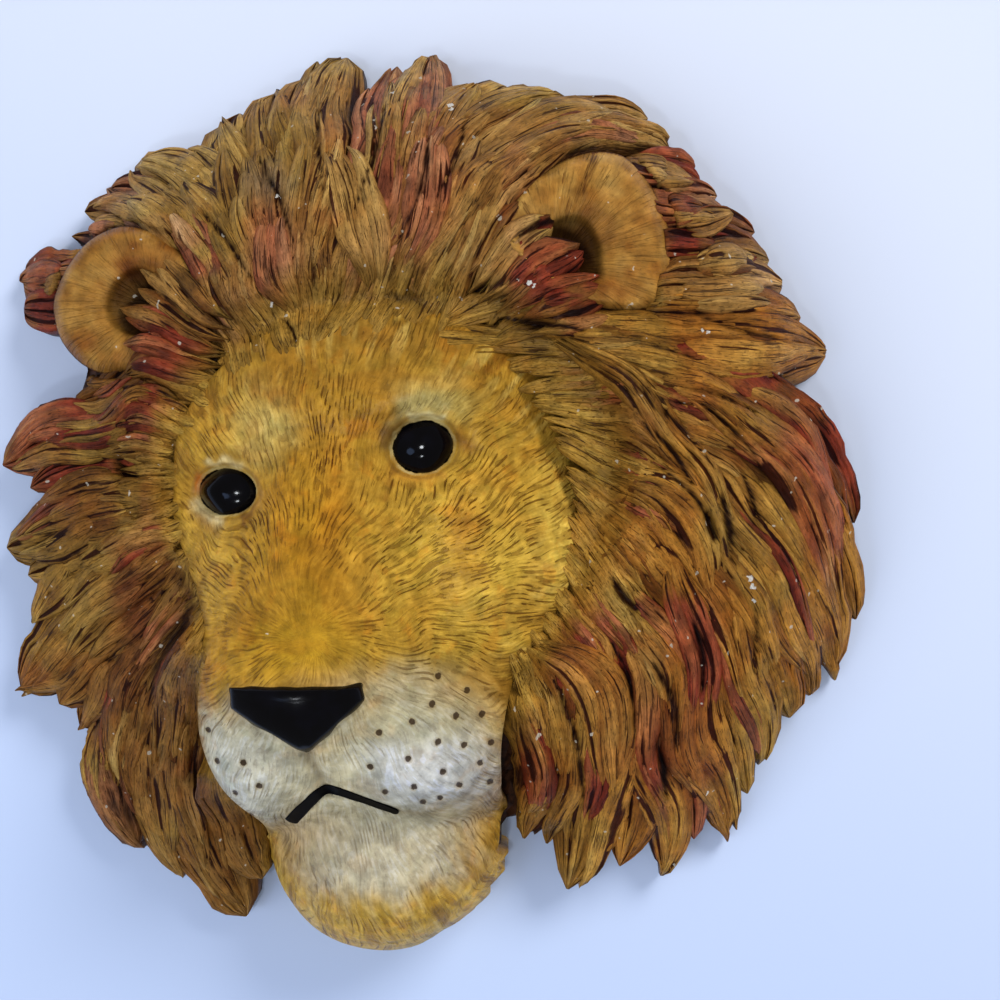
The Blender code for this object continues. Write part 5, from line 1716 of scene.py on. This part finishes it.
# The table runs from a darker, bluer painted shade at the lower left to a paler painted light at the upper
# right
TABLE_PAINTED_LIGHT, TABLE_PAINTED_SHADE = (0.60, 0.65, 0.775, 1.0), (0.45, 0.55, 0.78, 1.0)
SENSOR_WIDTH = 36.0
# Each light: its place, size, watts and colour, and whether gloss paint shows it
LIGHTS = {
    "window_light": ((0.75, -1.0, 0.85), 0.7, 17.2, (1.0, 0.97, 0.93), False),
    "room_fill": ((-0.8, -1.0, -0.45), 1.2, 8.3, (0.96, 0.98, 1.0), False),
    "near_lamp": ((-0.06, -1.0, 0.02), 0.08, 1.4, (0.92, 0.96, 1.0), True),
    "low_lamp": ((-0.03, -1.0, -0.34), 0.08, 1.1, (0.88, 0.94, 1.0), True),
    "blue_panel": ((-0.34, -1.0, -0.10), 0.22, 0.7, (0.40, 0.58, 1.0), True),
    "back_fill": ((0.3, 1.2, 0.5), 1.2, 10.0, (1.0, 1.0, 1.0), False),
}


def table():
    """A pale table top just behind the flat back, painted darker and bluer towards the lower left and paler
    towards the upper right, as painted shade and light. Its far side is clear, so the plaque's back can be
    seen."""
    work = Paintwork("pale_table")
    clouds = work.noise(work.place, 6.0, 2.0, 0.5)
    parts = work.parts(work.place)
    across_up = work.maths("MULTIPLY_ADD", parts[2], 1.4, work.maths("MULTIPLY", parts[0], 0.6))
    painted_light_slant = work.roughened(across_up, clouds, 0.08)
    colour = work.blend(work.step(painted_light_slant, -0.20, 0.22), TABLE_PAINTED_SHADE, TABLE_PAINTED_LIGHT)
    work.link(colour, work.shader.inputs["Base Color"])
    work.shader.inputs["Roughness"].default_value = 0.7
    clear = work.add("ShaderNodeBsdfTransparent").outputs[0]
    side = work.add("ShaderNodeNewGeometry").outputs["Backfacing"]
    mixed = work.put(work.add("ShaderNodeMixShader"), {0: side, 1: work.shader.outputs[0], 2: clear})
    work.link(mixed.outputs[0], work.tree.nodes["Material Output"].inputs["Surface"])
    corners = [(x * TABLE_REACH, TABLE_GAP, z * TABLE_REACH) for x, z in ((-1, -1), (1, -1), (1, 1), (-1, 1))]
    mesh = bpy.data.meshes.new("table_top")
    mesh.from_pydata(corners, [], [(0, 1, 2, 3)])
    mesh.materials.append(work.material)
    top = put_in_scene("table_top", mesh)
    top.visible_shadow = False


def soft_light(name, place, size, watts, colour, in_gloss):
    """A round light that faces the plaque and isn't seen itself, but may shine back from gloss paint."""
    lamp = bpy.data.lights.new(name, "AREA")
    lamp.shape = "DISK"
    lamp.size = size
    lamp.energy = watts
    lamp.color = colour
    made = put_in_scene(name, lamp)
    made.location = place
    direction = -made.location.normalized()
    made.rotation_euler = direction.to_track_quat("-Z", "Y").to_euler()
    made.visible_camera = False
    made.visible_glossy = in_gloss


def sky_light():
    """Even, faintly blue light from all round."""
    sky = bpy.data.worlds.new("room_light")
    sky.use_nodes = True
    sky.node_tree.nodes["Background"].inputs["Color"].default_value = (0.88, 0.92, 1.0, 1.0)
    sky.node_tree.nodes["Background"].inputs["Strength"].default_value = 0.34
    bpy.context.scene.world = sky


def snapshot_camera():
    """The photograph's camera: straight in front, a little to the right of the plaque's middle."""
    lens = bpy.data.cameras.new("snapshot")
    lens.sensor_width = SENSOR_WIDTH
    lens.lens = SENSOR_WIDTH * VIEW_DISTANCE * VIEW_SCALE / PICTURE_SIZE
    camera = put_in_scene("snapshot", lens)
    camera.location = (VIEW_ACROSS * MM, -VIEW_DISTANCE * MM, 0.0)
    camera.rotation_euler = (np.pi / 2, 0.0, 0.0)
    bpy.context.scene.camera = camera


table()
for light, settings in LIGHTS.items():
    soft_light(light, *settings)
sky_light()
snapshot_camera()
bpy.context.scene.view_settings.view_transform = "Standard"
